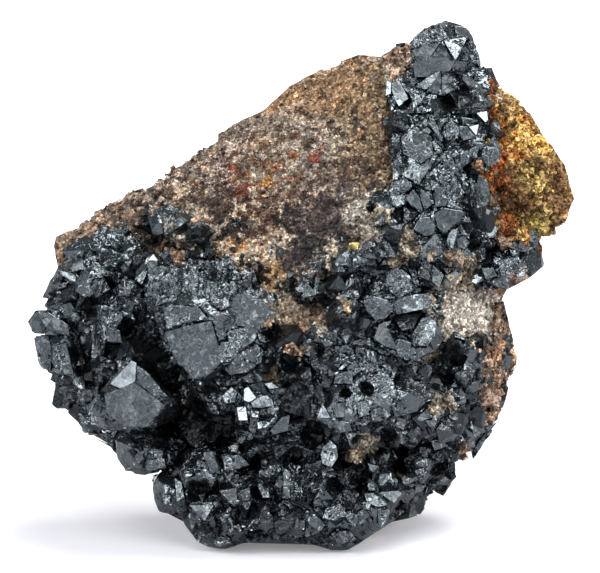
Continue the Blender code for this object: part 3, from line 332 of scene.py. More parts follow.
n.join(n.math("ADD", bumps, n.math("MULTIPLY", fine.outputs["Fac"], 0.8)), out["Height"])
print("group", grain_group.name)

# %% Growth relief
relief_group, n, given, out = new_group(
    "growth_relief",
    [("Hackle", "NodeSocketFloat", 0.3), ("Lines", "NodeSocketFloat", 0.3)],
    [("Height", "NodeSocketFloat"), ("Dull", "NodeSocketFloat")])
spot = n.add("ShaderNodeTexCoord").outputs["Object"]
height = None
for scale, slope in ((800.0, 1.5), (2100.0, 0.8)):
    cells = n.add("ShaderNodeTexVoronoi", {"Vector": spot, "Scale": scale})
    lean = n.add("ShaderNodeVectorMath", {0: cells.outputs["Color"], 1: (0.5, 0.5, 0.5)},
                 operation="SUBTRACT")
    arm = n.add("ShaderNodeVectorMath", {0: spot, 1: cells.outputs["Position"]}, operation="SUBTRACT")
    tilt = n.add("ShaderNodeVectorMath", {0: lean.outputs[0], 1: arm.outputs[0]},
                 operation="DOT_PRODUCT").outputs["Value"]
    tilt = n.math("MULTIPLY", n.math("MULTIPLY", tilt, slope), given["Hackle"])
    height = tilt if height is None else n.math("ADD", height, tilt)
cracks = n.add("ShaderNodeTexVoronoi", {"Vector": spot, "Scale": 1000.0},
               feature="DISTANCE_TO_EDGE")
groove = n.math("MULTIPLY", n.ramp(cracks.outputs["Distance"], 0.0, 0.09), 0.00007)
height = n.math("ADD", height, n.math("MULTIPLY", groove, given["Hackle"]))
turned = n.add("ShaderNodeMapping", {"Vector": spot, "Rotation": (0.5, 0.35, 0.2)})
lines = n.add("ShaderNodeTexWave", {"Vector": turned.outputs["Vector"], "Scale": 700.0,
                                    "Distortion": 4.0, "Detail": 3.0, "Detail Scale": 0.5},
              wave_profile="SAW")
ruled = n.math("MULTIPLY", n.math("MULTIPLY", lines.outputs["Fac"], 0.00007), given["Lines"])
ruled = n.math("MULTIPLY", ruled, n.math("ADD", given["Hackle"], 0.06))
swell = n.add("ShaderNodeTexNoise", {"Vector": spot, "Scale": 170.0, "Detail": 1.0})
crinkle = n.add("ShaderNodeTexNoise", {"Vector": spot, "Scale": 800.0, "Detail": 4.0})
waves = n.math("MULTIPLY", swell.outputs["Fac"], 0.00036)
folds = n.math("MULTIPLY", n.math("MULTIPLY", crinkle.outputs["Fac"], 0.0004), given["Hackle"])
n.join(n.math("ADD", n.math("ADD", height, ruled), n.math("ADD", waves, folds)), out["Height"])
pits = n.add("ShaderNodeTexNoise", {"Vector": spot, "Scale": 1100.0, "Detail": 5.0,
                                    "Roughness": 0.75})
n.join(n.ramp(pits.outputs["Fac"], 0.47, 0.66), out["Dull"])
print("group", relief_group.name)

# %% [markdown]
# ## Black sphalerite
# The crystals look black, but they are not metal. Light that enters them hardly comes back, and
# what is seen is mostly the strong reflection of a mineral with a refractive index near 2.4.
# So the colour is nearly black with a trace of blue, and the index does the rest. Fine relief
# breaks up the reflections, and dull films lie in places.

# %% Sphalerite material


def principled(name):
    look = bpy.data.materials.new(name)
    look.use_nodes = True
    return look, Nodes(look.node_tree), look.node_tree.nodes["Principled BSDF"].inputs


def sphalerite(name, colour, index, dull, hackle, lines):
    look, n, surface = principled(name)
    own = n.add("ShaderNodeAttribute", attribute_name="hackle")
    rough = n.math("ADD", n.math("MULTIPLY", own.outputs["Fac"], hackle), 0.02)
    growth = n.group(relief_group, {"Hackle": rough, "Lines": lines})
    film = n.math("MULTIPLY", growth.outputs["Dull"], n.ramp(own.outputs["Fac"], 0.1, 0.8))
    n.join(n.mix(film, colour, (0.016, 0.016, 0.016, 1)), surface["Base Color"])
    spot = n.add("ShaderNodeTexCoord").outputs["Object"]
    smoke = n.add("ShaderNodeTexNoise", {"Vector": spot, "Scale": 190.0, "Detail": 3.0,
                                         "Roughness": 0.6, "Distortion": 0.6})
    long_way = n.add("ShaderNodeMapping", {"Vector": spot, "Rotation": (0.3, 0.5, 0.2),
                                           "Scale": (1.0, 1.0, 0.22)})
    streak = n.add("ShaderNodeTexNoise", {"Vector": long_way.outputs["Vector"], "Scale": 1300.0,
                                          "Detail": 3.0})
    smoked = n.math("ADD", n.math("MULTIPLY", n.ramp(smoke.outputs["Fac"], 0.38, 0.66), 0.11),
                    n.math("MULTIPLY", n.ramp(streak.outputs["Fac"], 0.5, 0.7), 0.04))
    matt = n.math("ADD", n.math("MULTIPLY", film, 0.16), smoked)
    n.join(n.math("ADD", matt, dull), surface["Roughness"])
    bump = n.add("ShaderNodeBump", {"Strength": 1.0, "Distance": 1.0,
                                    "Height": growth.outputs["Height"]})
    n.join(bump.outputs["Normal"], surface["Normal"])
    surface["IOR"].default_value = index
    surface["Specular Tint"].default_value = (0.81, 0.93, 1.0, 1)
    look.diffuse_color = colour
    return look


# The same mineral in four copies, from the brightest reflection to the darkest. The first three are shared out at
# random among the small crystals. The dull and the darkest copies also paint shade on the hollows, and the plain
# copy paints shade on the facets drawn dark.
bright = sphalerite("bright_sphalerite", (0.006, 0.0075, 0.0095, 1), 2.4, 0.05, 0.9, 1.0)
plain = sphalerite("plain_sphalerite", (0.004, 0.005, 0.006, 1), 2.05, 0.1, 1.0, 0.5)
dull_and_shaded = sphalerite("dull_and_shaded_sphalerite", (0.0025, 0.003, 0.0035, 1), 1.62, 0.15, 1.2, 0.3)
shaded_hollow_look = sphalerite("shaded_hollow_sphalerite", (0.0016, 0.0018, 0.002, 1), 1.48, 0.25, 1.4, 0.3)
BRIGHT, PLAIN, DULL_AND_SHADED = 0, 1, 2
BEIGE, RUST, STAINED, GOLD, SHADED_HOLLOW = 3, 4, 5, 6, 7
print("materials", [look.name for look in (bright, plain, dull_and_shaded, shaded_hollow_look)])

# %% [markdown]
# ## Host rock
# The matrix is granular. The slab in the middle is taupe to olive with rusty spots, the rim
# above it is pinkish, and close to the crystals it bleaches to a pale beige with dark pores. A
# purple-brown stain crosses the middle and a rusty strip runs down the right. Each of these is
# a soft patch laid over the slab's colour.

# %% Rock material
ROCK_STAINS = [
    # centre (x, h), radius, ragged, colour, strength
    ((11, 60), 12, 0.6, (0.225, 0.162, 0.095, 1), 0.75),
    ((4, 67), 7, 0.6, (0.26, 0.16, 0.085, 1), 0.7),
    ((-3, 64.5), 5, 0.7, (0.25, 0.15, 0.075, 1), 0.7),
    ((-13, 60), 8, 0.6, (0.33, 0.25, 0.22, 1), 0.7),
    ((-30, 46), 12, 0.6, (0.25, 0.17, 0.12, 1), 0.6),
    ((-20, 51), 6, 0.6, (0.3, 0.24, 0.21, 1), 0.6),
    ((2, 57), 6, 0.8, (0.3, 0.27, 0.24, 1), 0.6),
    ((-8, 46), 10, 1.4, (0.46, 0.37, 0.28, 1), 0.7),
    ((-19, 47), 8, 1.4, (0.47, 0.38, 0.28, 1), 0.75),
    ((-3, 44), 12, 3.2, (0.035, 0.03, 0.03, 1), 0.9),
    ((-13, 47), 9, 3.2, (0.04, 0.033, 0.03, 1), 0.85),
    ((5, 48), 8, 2.6, (0.05, 0.04, 0.04, 1), 0.75),
    ((-22, 46), 7, 2.6, (0.05, 0.042, 0.038, 1), 0.8),
    ((-4, 45), 9, 2.4, (0.36, 0.17, 0.07, 1), 0.5),
    ((2.5, 46.5), 6.5, 1.2, (0.055, 0.045, 0.048, 1), 0.9),
    ((-5, 47.5), 4.5, 1.2, (0.08, 0.048, 0.035, 1), 0.9),
    ((-11.5, 48.5), 3.5, 1.2, (0.06, 0.045, 0.04, 1), 0.85),
    ((-1, 41.5), 4.5, 1.2, (0.045, 0.04, 0.042, 1), 0.9),
    ((-16, 44.5), 2.4, 1.0, (0.06, 0.045, 0.04, 1), 0.8),
    ((6, 42.5), 3.2, 1.2, (0.06, 0.05, 0.045, 1), 0.85),
    ((-7.6, 41.4), 3.4, 1.0, (0.5, 0.42, 0.32, 1), 0.8),
    ((-4, 36), 4.5, 0.8, (0.56, 0.47, 0.36, 1), 0.85),
    ((-4, 39), 2.4, 0.9, (0.45, 0.28, 0.14, 1), 0.8),
    ((-9, 43.4), 1.8, 0.9, (0.4, 0.21, 0.09, 1), 0.8),
    ((9.5, 47.5), 3.6, 0.9, (0.52, 0.49, 0.43, 1), 0.9),
    ((13, 44), 5, 0.7, (0.5, 0.45, 0.37, 1), 0.85),
    ((23.5, 34), 7.5, 0.5, (0.62, 0.585, 0.52, 1), 0.95),
    ((29.4, 30), 5.5, 0.5, (0.44, 0.27, 0.16, 1), 0.9),
    ((29.4, 22), 6, 0.5, (0.42, 0.25, 0.14, 1), 0.9),
    ((32, 40), 5, 0.6, (0.3, 0.13, 0.05, 1), 0.6),
    ((1.9, 55.4), 1.3, 0.8, (0.14, 0.03, 0.015, 1), 0.9),
    ((-9.3, 54.4), 1.2, 0.8, (0.15, 0.05, 0.025, 1), 0.8),
    ((-8, 51), 1.5, 0.8, (0.12, 0.03, 0.02, 1), 0.85),
    ((-0.7, 59), 1.0, 0.8, (0.14, 0.05, 0.03, 1), 0.7),
    ((-4.6, 52.4), 0.9, 0.8, (0.42, 0.22, 0.06, 1), 0.8),
    ((16, 50), 1.6, 0.8, (0.3, 0.13, 0.05, 1), 0.7),
    ((-17, 43), 2.6, 1.2, (0.014, 0.012, 0.012, 1), 0.95),
    ((-13.5, 41.5), 2.4, 1.2, (0.014, 0.012, 0.012, 1), 0.95),
    ((-9.5, 45.4), 2.5, 1.2, (0.014, 0.012, 0.012, 1), 0.9),
    ((-2, 47.6), 2.4, 1.2, (0.014, 0.012, 0.012, 1), 0.9),
    ((3.5, 44.5), 2.8, 1.2, (0.014, 0.012, 0.012, 1), 0.6),
    ((-6, 39.3), 2.2, 1.2, (0.014, 0.012, 0.012, 1), 0.95),
    ((7.5, 45), 2.4, 1.2, (0.014, 0.012, 0.012, 1), 0.6),
    ((0, 43), 2.5, 1.2, (0.014, 0.012, 0.012, 1), 0.6),
    ((-20.5, 46), 2.2, 1.2, (0.014, 0.012, 0.012, 1), 0.9),
    ((-1.6, 37.6), 2.0, 1.0, (0.014, 0.012, 0.012, 1), 0.9),
    ((-11, 39.8), 2.3, 0.9, (0.52, 0.44, 0.34, 1), 0.85),
    ((-3.4, 43.6), 2.1, 0.9, (0.5, 0.42, 0.33, 1), 0.8),
    ((4.4, 41.2), 2.3, 0.9, (0.48, 0.42, 0.34, 1), 0.8),
    ((-15, 46.6), 2.3, 0.9, (0.48, 0.4, 0.31, 1), 0.75),
]


def on_rock(x, h):
    """The place on the rock's front surface seen at (x, h)."""
    hit, _, _, _ = lobe_tree.ray_cast(at(x, h, -40), Vector((0, math.cos(TILT), -math.sin(TILT))))
    return hit or at(x, h, -5)


def granular(name, low, high, stains, dark, light, dark_tint, light_tint, stain_scale=600.0):
    """A rough mineral with mottled colour, stains, and specks of two sizes."""
    look, n, surface = principled(name)
    spot = n.add("ShaderNodeTexCoord").outputs["Object"]
    broad = n.add("ShaderNodeTexNoise", {"Vector": spot, "Scale": 130.0, "Detail": 9.0,
                                         "Roughness": 0.7})
    colour = n.mix(n.ramp(broad.outputs["Fac"], 0.36, 0.64), low, high)
    middle = n.add("ShaderNodeTexNoise", {"Vector": spot, "Scale": 420.0, "Detail": 6.0,
                                          "Roughness": 0.7})
    warm = n.add("ShaderNodeTexNoise", {"Vector": spot, "Scale": 260.0, "Detail": 5.0})
    colour = n.mix(n.math("MULTIPLY", n.ramp(warm.outputs["Fac"], 0.5, 0.68), 0.6), colour,
                   (1.35, 0.95, 0.62, 1), "MULTIPLY")
    for (x, h), radius, ragged, tint, strength in stains:
        stain = n.group(patch_group, {"Centre": on_rock(x, h), "Radius": radius * MM,
                                      "Ragged": ragged, "Scale": stain_scale})
        colour = n.mix(n.math("MULTIPLY", stain.outputs["Mask"], strength), colour, tint)
    fine = n.group(grain_group, {"Scale": 3600.0, "Dark Share": dark, "Light Share": light})
    coarse = n.group(grain_group, {"Scale": 1900.0, "Dark Share": dark * 0.6,
                                   "Light Share": light * 0.5})
    for grain, strength in ((fine, 1.0), (coarse, 0.55)):
        colour = n.mix(n.math("MULTIPLY", grain.outputs["Dark"], strength), colour, dark_tint,
                       "MULTIPLY")
        colour = n.mix(n.math("MULTIPLY", grain.outputs["Light"], strength), colour, light_tint,
                       "MULTIPLY")
    own = n.add("ShaderNodeAttribute", attribute_name="hackle").outputs["Fac"]
    is_grain = n.math("GREATER_THAN", own, 0.01)
    swing = n.math("MULTIPLY", n.math("SUBTRACT", own, 0.47), 1.5)
    level = n.math("ADD", n.math("MULTIPLY", is_grain, swing), 1.0)
    shade = n.add("ShaderNodeCombineColor", {"Red": level, "Green": level, "Blue": level})
    colour = n.mix(1.0, colour, shade.outputs["Color"], "MULTIPLY")
    blotch = n.ramp(middle.outputs["Fac"], 0.46, 0.36)
    colour = n.mix(n.math("MULTIPLY", blotch, 0.85), colour, (0.25, 0.22, 0.21, 1), "MULTIPLY")
    n.join(colour, surface["Base Color"])
    n.join(n.ramp(broad.outputs["Fac"], 0.35, 0.65, 0.55, 0.9), surface["Roughness"])
    relief = n.math("ADD", n.math("MULTIPLY", fine.outputs["Height"], 0.6), coarse.outputs["Height"])
    bump = n.add("ShaderNodeBump", {"Strength": 1.0, "Distance": 0.0004, "Height": relief})
    n.join(bump.outputs["Normal"], surface["Normal"])
    surface["Specular IOR Level"].default_value = 0.22
    return look


DARK_SPECK = (0.52, 0.48, 0.45, 1)
LIGHT_SPECK = (2.1, 2.05, 2.0, 1)
rock_look = granular("host_rock_grain", (0.17, 0.138, 0.108, 1), (0.345, 0.288, 0.23, 1),
                     ROCK_STAINS, 0.3, 0.26, DARK_SPECK, LIGHT_SPECK)
beige_look = granular("bleached_matrix", (0.235, 0.203, 0.158, 1), (0.45, 0.405, 0.333, 1),
                      [], 0.25, 0.3, (0.32, 0.28, 0.25, 1), (1.6, 1.6, 1.6, 1))
rust_look = granular("rusty_matrix", (0.23, 0.16, 0.115, 1), (0.44, 0.32, 0.23, 1),
                     [], 0.3, 0.25, (0.35, 0.3, 0.26, 1), (1.6, 1.6, 1.7, 1))
print("stains", len(ROCK_STAINS))

# %% Rough skin for rock


CREASED_BELOW = 3


def rough_skin(bm, layers, shift):
    """Move each vertex along its normal by noise layers (size mm, amount mm).

    The small layers are creased, so they make rounded lumps with sharp cracks between."""
    bm.normal_update()
    moves = []
    for vert in bm.verts:
        place = vert.co / MM
        push = 0.0
        for size, amount in layers:
            swell = noise.noise(place / size + Vector((shift, size, 0)))
            push += (abs(swell) * 2 - 0.5 if size < CREASED_BELOW else swell) * amount
        moves.append(vert.normal * push * MM)
    for vert, move in zip(bm.verts, moves):
        vert.co += move


rock_layers = [(9, 0.8), (3.6, 0.7), (2.2, 0.5), (1.1, 0.4), (0.6, 0.2)]
bm = remeshed(merged_copy("host_rock"), 0.7)
rough_skin(bm, rock_layers, 2.0)
for vert in bm.verts:
    vert.co.z = max(vert.co.z, 0.0)
skin_tree = BVHTree.FromBMesh(bm)
print("rock faces", len(bm.faces))
rock_skin = bm

# %% [markdown]
# ## Ochre quartz
# The lobe on the shoulder is a crust of tiny quartz grains soaked in iron rust: grey-white at
# the top, golden in the middle, with orange-red stains towards the rock and a honey-brown rim.

# %% Ochre material and skin
OCHRE_STAINS = [
    ((38, 51), 6.5, 0.7, (0.3, 0.18, 0.085, 1), 0.85),
    ((31, 66), 4.6, 0.7, (0.5, 0.47, 0.43, 1), 0.9),
    ((32.4, 59), 4.6, 0.7, (0.72, 0.48, 0.16, 1), 0.85),
    ((32.4, 52), 3.4, 0.8, (0.56, 0.43, 0.16, 1), 0.8),
    ((33, 46.6), 3.0, 0.8, (0.5, 0.42, 0.16, 1), 0.8),
    ((28.2, 55.4), 2.0, 1.3, (0.5, 0.12, 0.025, 1), 0.9),
    ((28.6, 52), 1.8, 1.3, (0.5, 0.14, 0.03, 1), 0.9),
    ((28.6, 59.4), 1.7, 1.3, (0.6, 0.22, 0.04, 1), 0.9),
    ((31, 56), 1.2, 1.2, (0.6, 0.24, 0.05, 1), 0.7),
    ((31.6, 49.6), 1.5, 1.2, (0.1, 0.06, 0.035, 1), 0.8),
    ((32, 61.6), 1.8, 1.0, (0.7, 0.2, 0.03, 1), 0.85),
    ((30, 49), 4.5, 0.9, (0.13, 0.06, 0.035, 1), 0.8),
    ((38.6, 48), 2.2, 0.8, (0.5, 0.23, 0.05, 1), 0.7),
    ((30.2, 60.8), 1.0, 0.8, (0.03, 0.025, 0.025, 1), 0.9),
]
ochre_look = granular("rusty_quartz", (0.22, 0.13, 0.06, 1), (0.5, 0.35, 0.15, 1), OCHRE_STAINS,
                      0.28, 0.3, (0.34, 0.27, 0.2, 1), (1.75, 1.75, 1.6, 1), 900.0)
stained_look = granular("stained_crust", (0.3, 0.07, 0.02, 1), (0.4, 0.2, 0.06, 1), [],
                        0.36, 0.2, (0.14, 0.12, 0.12, 1), (1.5, 1.7, 1.4, 1))

# %% [markdown]
# ## Small crystals
# Sphalerite grows as tetrahedra with blunted corners and as twelve-sided forms. Each shape here
# is a cube cut down by planes. A dozen of them are enough, because every crystal on the crust
# gets its own size and its own turn.

# %% Crystal shapes
PLUS = [(1, 1, 1), (1, -1, -1), (-1, 1, -1), (-1, -1, 1)]
MINUS = [(-1, -1, -1), (-1, 1, 1), (1, -1, 1), (1, 1, -1)]
SQUARE = [(1, 0, 0), (-1, 0, 0), (0, 1, 0), (0, -1, 0), (0, 0, 1), (0, 0, -1)]
RHOMB = [(a, b, 0) for a in (1, -1) for b in (1, -1)]
RHOMB += [(a, 0, b) for a in (1, -1) for b in (1, -1)]
RHOMB += [(0, a, b) for a in (1, -1) for b in (1, -1)]
chance = random.Random(11)


def cut_crystal(cuts):
    """A cube cut down by planes given as (direction, distance)."""
    bm = bmesh.new()
    bmesh.ops.create_cube(bm, size=2.4)
    for direction, distance in cuts:
        normal = Vector(direction).normalized()
        everything = bm.verts[:] + bm.edges[:] + bm.faces[:]
        cut = bmesh.ops.bisect_plane(bm, geom=everything, plane_co=normal * distance,
                                     plane_no=normal, clear_outer=True, dist=1e-5)
        rim = [item for item in cut["geom_cut"] if isinstance(item, bmesh.types.BMEdge)]
        if rim:
            bmesh.ops.edgeloop_fill(bm, edges=rim)
    bmesh.ops.recalc_face_normals(bm, faces=bm.faces)
    mesh = bpy.data.meshes.new("crystal_shape")
    bm.to_mesh(mesh)
    bm.free()
    return mesh


shapes = []
for number in range(14):
    jitter = lambda share: share * chance.uniform(0.86, 1.14)
    if number % 3 == 0:
        cuts = [(d, jitter(0.52)) for d in PLUS] + [(d, jitter(0.9)) for d in MINUS]
        cuts += [(d, jitter(0.85)) for d in SQUARE]
    elif number % 3 == 1:
        cuts = [(d, jitter(0.62)) for d in PLUS] + [(d, jitter(0.72)) for d in MINUS]
    else:
        cuts = [(d, jitter(0.78)) for d in RHOMB] + [(d, jitter(0.7)) for d in PLUS]
    shapes.append(cut_crystal(cuts))
print("shapes", len(shapes), "faces", [len(shape.polygons) for shape in shapes])

# %% [markdown]
# ## Where crystals grow
# Points are drawn evenly over a group's own surface. On the crust close to the rock they are
# kept, and further from the rock, on the large faces, they are dropped. Neighbouring crystals
# share one turn, as crystals grown on the same seed do, which makes whole fields of facets
# flash together.

# %% Drawing points on a surface
def surface_points(bm, count, seed):
    """Even random points on a surface, with the normals there."""
    rng = np.random.default_rng(seed)
    loops = bm.calc_loop_triangles()
    corners = np.array([[loop.vert.co for loop in tri] for tri in loops])
    across = np.cross(corners[:, 1] - corners[:, 0], corners[:, 2] - corners[:, 0])
    area = np.linalg.norm(across, axis=1) / 2
    pick = rng.choice(len(loops), size=int(count), p=area / area.sum())
    a, b = rng.random((2, int(count), 1))
    flip = a + b > 1
    a = np.where(flip, 1 - a, a)
    b = np.where(flip, 1 - b, b)
    points = corners[pick, 0] + a * (corners[pick, 1] - corners[pick, 0])
    points = points + b * (corners[pick, 2] - corners[pick, 0])
    normals = across[pick] / np.maximum(area[pick, None] * 2, 1e-12)
    return points, normals, area.sum()


def spread_out(points, sizes, closeness):
    """Indices of points that keep clear of one another, larger crystals first."""
    tree = KDTree(len(points))
    for index, point in enumerate(points):
        tree.insert(point, index)
    tree.balance()
    largest = max(sizes)
    blocked = set()
    kept = []
    for index in np.argsort(-np.array(sizes)):
        if index in blocked:
            continue
        kept.append(index)
        for _, other, away in tree.find_range(points[index], (sizes[index] + largest) * closeness):
            if away < (sizes[index] + sizes[other]) * closeness:
                blocked.add(other)
    return kept


def random_turn(rng):
    return Quaternion(rng.normal(size=4)).normalized()


def add_copies(target, shape, copies):
    """Add many copies of a shape at once, each given as (move, look, hackle)."""
    corners = np.array([vert.co for vert in shape.vertices])
    faces = [tuple(face.vertices) for face in shape.polygons]
    moves = np.array([move for move, _, _ in copies])
    places = np.einsum("nij,vj->nvi", moves[:, :3, :3], corners) + moves[:, None, :3, 3]
    joined = [tuple(corner + number * len(corners) for corner in face)
              for number in range(len(copies)) for face in faces]
    mesh = bpy.data.meshes.new("copies")
    mesh.from_pydata(places.reshape(-1, 3).tolist(), [], joined)
    looks = np.repeat([look for _, look, _ in copies], len(faces))
    mesh.polygons.foreach_set("material_index", looks)
    layer = mesh.attributes.new("hackle", "FLOAT", "FACE")
    layer.data.foreach_set("value", np.repeat([value for _, _, value in copies], len(faces)))
    target.from_mesh(mesh)
    bpy.data.meshes.remove(mesh)


def add_all(target, kinds, wanted):
    """Add the wanted copies, given as (number of the shape, move, look, hackle)."""
    for number, shape in enumerate(kinds):
        copies = [entry[1:] for entry in wanted if entry[0] == number]
        if copies:
            add_copies(target, shape, copies)


def grow_crystals(target, spots, seed, cluster_size, loose=0.15):
    """Add a crystal at each spot (point, normal, radius) to the target mesh."""
    if not spots:
        return
    rng = np.random.default_rng(seed)
    count = max(1, int(len(spots) / cluster_size))
    tree = KDTree(count)
    turns = []
    for number, pick in enumerate(rng.choice(len(spots), size=count, replace=False)):
        tree.insert(spots[pick][0], number)
        turns.append(random_turn(rng))
    tree.balance()
    wanted = []
    for point, normal, radius in spots:
        _, nearest, _ = tree.find(point)
        turn = turns[nearest]
        if rng.random() < loose:
            turn = random_turn(rng)
        else:
            turn = turn @ Quaternion(Vector(rng.normal(size=3)).normalized(), rng.normal() * 0.09)
        middle = Vector(point) + Vector(normal) * radius * rng.uniform(-0.65, 0.0)
        stretch = Matrix.Diagonal(list(rng.uniform(0.85, 1.2, size=3)) + [1.0])
        move = Matrix.Translation(middle) @ turn.to_matrix().to_4x4() @ Matrix.Scale(radius, 4) @ stretch
        shares = [0.6, 0.22, 0.18]
        if noise.noise(Vector(point) / (3.4 * MM)) < -0.02 or radius < 0.4 * MM:
            shares = [0.12, 0.2, 0.68]
        look = int(rng.choice([BRIGHT, PLAIN, DULL_AND_SHADED], p=shares))
        wanted.append((rng.integers(len(shapes)), move, look, float(rng.beta(1.2, 2.0))))
    add_all(target, shapes, wanted)


# %% [markdown]
# ## Hackle on the large crystals
# Few faces of the large crystals are smooth. Most carry steps and tiny tilted facets, left by
# growth in layers. The large faces are divided finely, and inside rough patches each small cell
# of the surface is tilted its own way. The same value is kept on the faces for the material.

# %% Divide and roughen
FINE_EDGE = 0.55 * MM
ROUGH_PATCHES = [
    # x, h, reach in mm, how rough
    (16.5, 72, 2.2, 1.0), (19, 74.2, 1.8, 1.0), (-12, 39.6, 3.2, 1.0), (-7.5, 37, 3.5, 1.0),
    (-18.6, 39.5, 2.6, 0.8), (-9, 27.5, 3.0, 0.9), (-5.4, 31.5, 2.2, 1.0), (-21.4, 36, 1.6, 0.6),
    (10.8, 36.6, 2.8, 0.9), (13.4, 38.4, 2, 0.9), (-5.6, 18.6, 3.6, 1.0), (-12, 21.5, 2.4, 1.0),
    (-25.6, 17.6, 2.4, 0.5), (-19.2, 18.6, 2, 0.5), (5, 18.4, 1.8, 0.8), (15.4, 24, 1.4, 0.8),
    (-15, 12.8, 2, 0.8), (-22.5, 15.6, 2.4, 0.8), (10, 9, 1.6, 0.8), (22.6, 59.2, 2, 0.9), (-17, 46, 5, 1.0), (2, 37, 4, 1.0), (28, 44, 3, 1.0),
    (-14, 6, 5, 0.8), (-4, 7, 5, 0.8), (7, 8, 5, 0.8), (-33, 20, 4, 0.8), (20, 10, 5, 0.8),
    (17.8, 56.4, 1.6, 0.9), (21.6, 55, 2, 0.9), (-37, 33, 1.4, 0.5),
]


MATRIX_PATCHES = [
    # x, h, reach in mm, look of the rock that shows there
    (22.4, 34.7, 3.4, BEIGE), (25, 32.4, 2.6, BEIGE), (23.9, 40.4, 1.3, BEIGE),
    (23.8, 38.4, 1.4, BEIGE), (21.4, 41.6, 1.2, BEIGE), (27.6, 35.4, 1.8, RUST),
    (27.6, 32, 2.0, RUST), (27.4, 28.6, 1.9, RUST), (27.7, 25.4, 1.9, RUST),
    (27.4, 22.3, 1.8, RUST), (27.1, 19.4, 1.6, RUST), (20.1, 21.1, 1.7, BEIGE),
    (9.4, 15.6, 1.7, BEIGE), (8.2, 13.9, 1.2, BEIGE), (14.6, 44.4, 1.5, BEIGE),
    (13.1, 41.2, 1.4, BEIGE), (15.8, 42.6, 1.2, BEIGE), (23.4, 13.4, 1.4, RUST),
    (27, 52.4, 1.4, STAINED), (25, 54.4, 0.6, RUST),
    (29.4, 48.4, 1.8, STAINED), (28.4, 45.8, 1.1, STAINED), (29, 43.6, 0.9, RUST), (33.8, 45, 1.8, STAINED), (34.6, 41.6, 1.6, STAINED),
    (13.6, 69.8, 2.0, RUST), (12.6, 68, 1.6, BEIGE), (11.4, 47.4, 1.3, BEIGE),
    (-4, 33.6, 1.6, BEIGE), (0.2, 32, 1.4, RUST), (2.6, 31.2, 1.2, BEIGE), (-0.6, 28.6, 1.3, RUST),
    (-8.6, 42, 0.9, RUST), (-18, 43, 1.2, BEIGE), (-17, 41.4, 1.0, RUST), (31, 39, 1.5, RUST),
    (9.6, 44.6, 1.6, BEIGE), (-20.4, 47.6, 1.2, BEIGE),
    (-17, 44.6, 1.3, BEIGE), (-14, 47, 1.0, RUST), (-18.6, 46, 0.9, BEIGE),
    (6, 34.6, 1.1, BEIGE), (-2.6, 37.6, 1.2, BEIGE), (18.6, 42.6, 0.9, BEIGE),
]


COLUMN_RIGHT = 27.1
COLUMN_LOW = 44
COLUMN_HIGH = 67


def matrix_at(point):
    """The look of the rock showing through the crust at a point, or 0."""
    x, h, d = place_of(point)
    ragged = noise.noise(Vector((x, h, d)) / 0.9) * 0.75
    if x + ragged > COLUMN_RIGHT and COLUMN_LOW < h < COLUMN_HIGH:
        return STAINED if noise.noise(Vector((x, h, d)) / 2.2) > -0.05 else GOLD
    for patch_x, patch_h, reach, look in MATRIX_PATCHES:
        if math.hypot(x - patch_x, h - patch_h) / reach + ragged < 1:
            return look
    return 0


def hackle_at(point):
    """How rough the crystal surface is at a point, from 0 to 1."""
    x, h, d = place_of(point)
    most = 0.2 + 0.7 * fade(noise.noise(Vector((x, h, d)) / 2.6), -0.1, 0.35)
    for patch_x, patch_h, reach, amount in ROUGH_PATCHES:
        away = math.hypot(x - patch_x, h - patch_h) / reach
        most = max(most, amount * (1 - fade(away, 0.6, 1.15)))
    return most


def divide_finely(bm, longest):
    """Split edges until none is longer than wanted."""
    bmesh.ops.triangulate(bm, faces=bm.faces)
    for _ in range(6):
        long_edges = [edge for edge in bm.edges if edge.calc_length() > longest]
        if not long_edges:
            break
        bmesh.ops.subdivide_edges(bm, edges=long_edges, cuts=1)
        bmesh.ops.triangulate(bm, faces=[face for face in bm.faces if len(face.verts) > 3])


def cell_tilt(place, size):
    """Height of a surface made of small cells, each tilted its own way."""
    _, centres = noise.voronoi(place / size)
    lean = noise.noise_vector(centres[0] * 7.3)
    return (place / size - centres[0]).dot(lean) * size


HOLLOWS = [
    # x, h, reach in mm: deep gaps between the groups, darkened with painted shade
    (-21.6, 27.6, 2.0), (-20.8, 24.4, 1.8), (-14.6, 19.0, 2.6), (-11.2, 17.2, 2.6),
    (-17.6, 18.6, 2.2), (-8.2, 15.8, 1.8), (-1.4, 27.2, 1.8), (-0.6, 22.6, 1.9), (-1.2, 19.8, 1.6),
    (6.4, 13.2, 1.6), (8.4, 11.0, 1.7), (9, 8.4, 1.2), (1.8, 16.4, 1.8), (-14.4, 8.6, 1.6),
    (-6.4, 12.6, 1.0), (-6.2, 8.4, 0.9), (-6.4, 5.6, 0.9), (-8.4, 5.2, 1.3), (-32.4, 27.6, 1.2),
    (-29.6, 34.6, 1.4), (-27.4, 37.4, 1.3), (16.2, 33, 1.5), (21, 27.6, 1.9), (20, 24.6, 1.5),
    (26.4, 42.2, 1.0), (24.6, 43.4, 0.8), (10.2, 48.4, 0.5), (23.2, 64.6, 1.5), (20.8, 63.4, 1.2),
    (14.6, 63.6, 1.0), (-24.6, 31.6, 1.3), (-26.4, 28.6, 1.2), (-18.4, 22.4, 1.2), (3, 35, 1.3),
    (-2.6, 31.4, 1.4), (3.4, 21.6, 1.2), (-27.2, 22.8, 1.2), (11, 14.6, 1.3),
    (17.4, 46, 0.8), (14.6, 38.6, 0.9), (-10, 43.6, 0.8), (23.6, 49.4, 0.9), (-32.6, 38.2, 1.2),
    (14.2, 11.6, 1.1), (0.6, 25.4, 1.2), (2, 28.6, 1.1), (9.4, 23, 0.9), (12.4, 16.6, 1.0),
    (6.4, 22.4, 0.7), (-4.6, 30.6, 0.9), (19.4, 11.6, 1.1), (4.6, 9.4, 1.1), (-0.6, 13.6, 1.1), (-17.6, 13.4, 1.2),
]
HOLLOW_DEPTH = 2.4


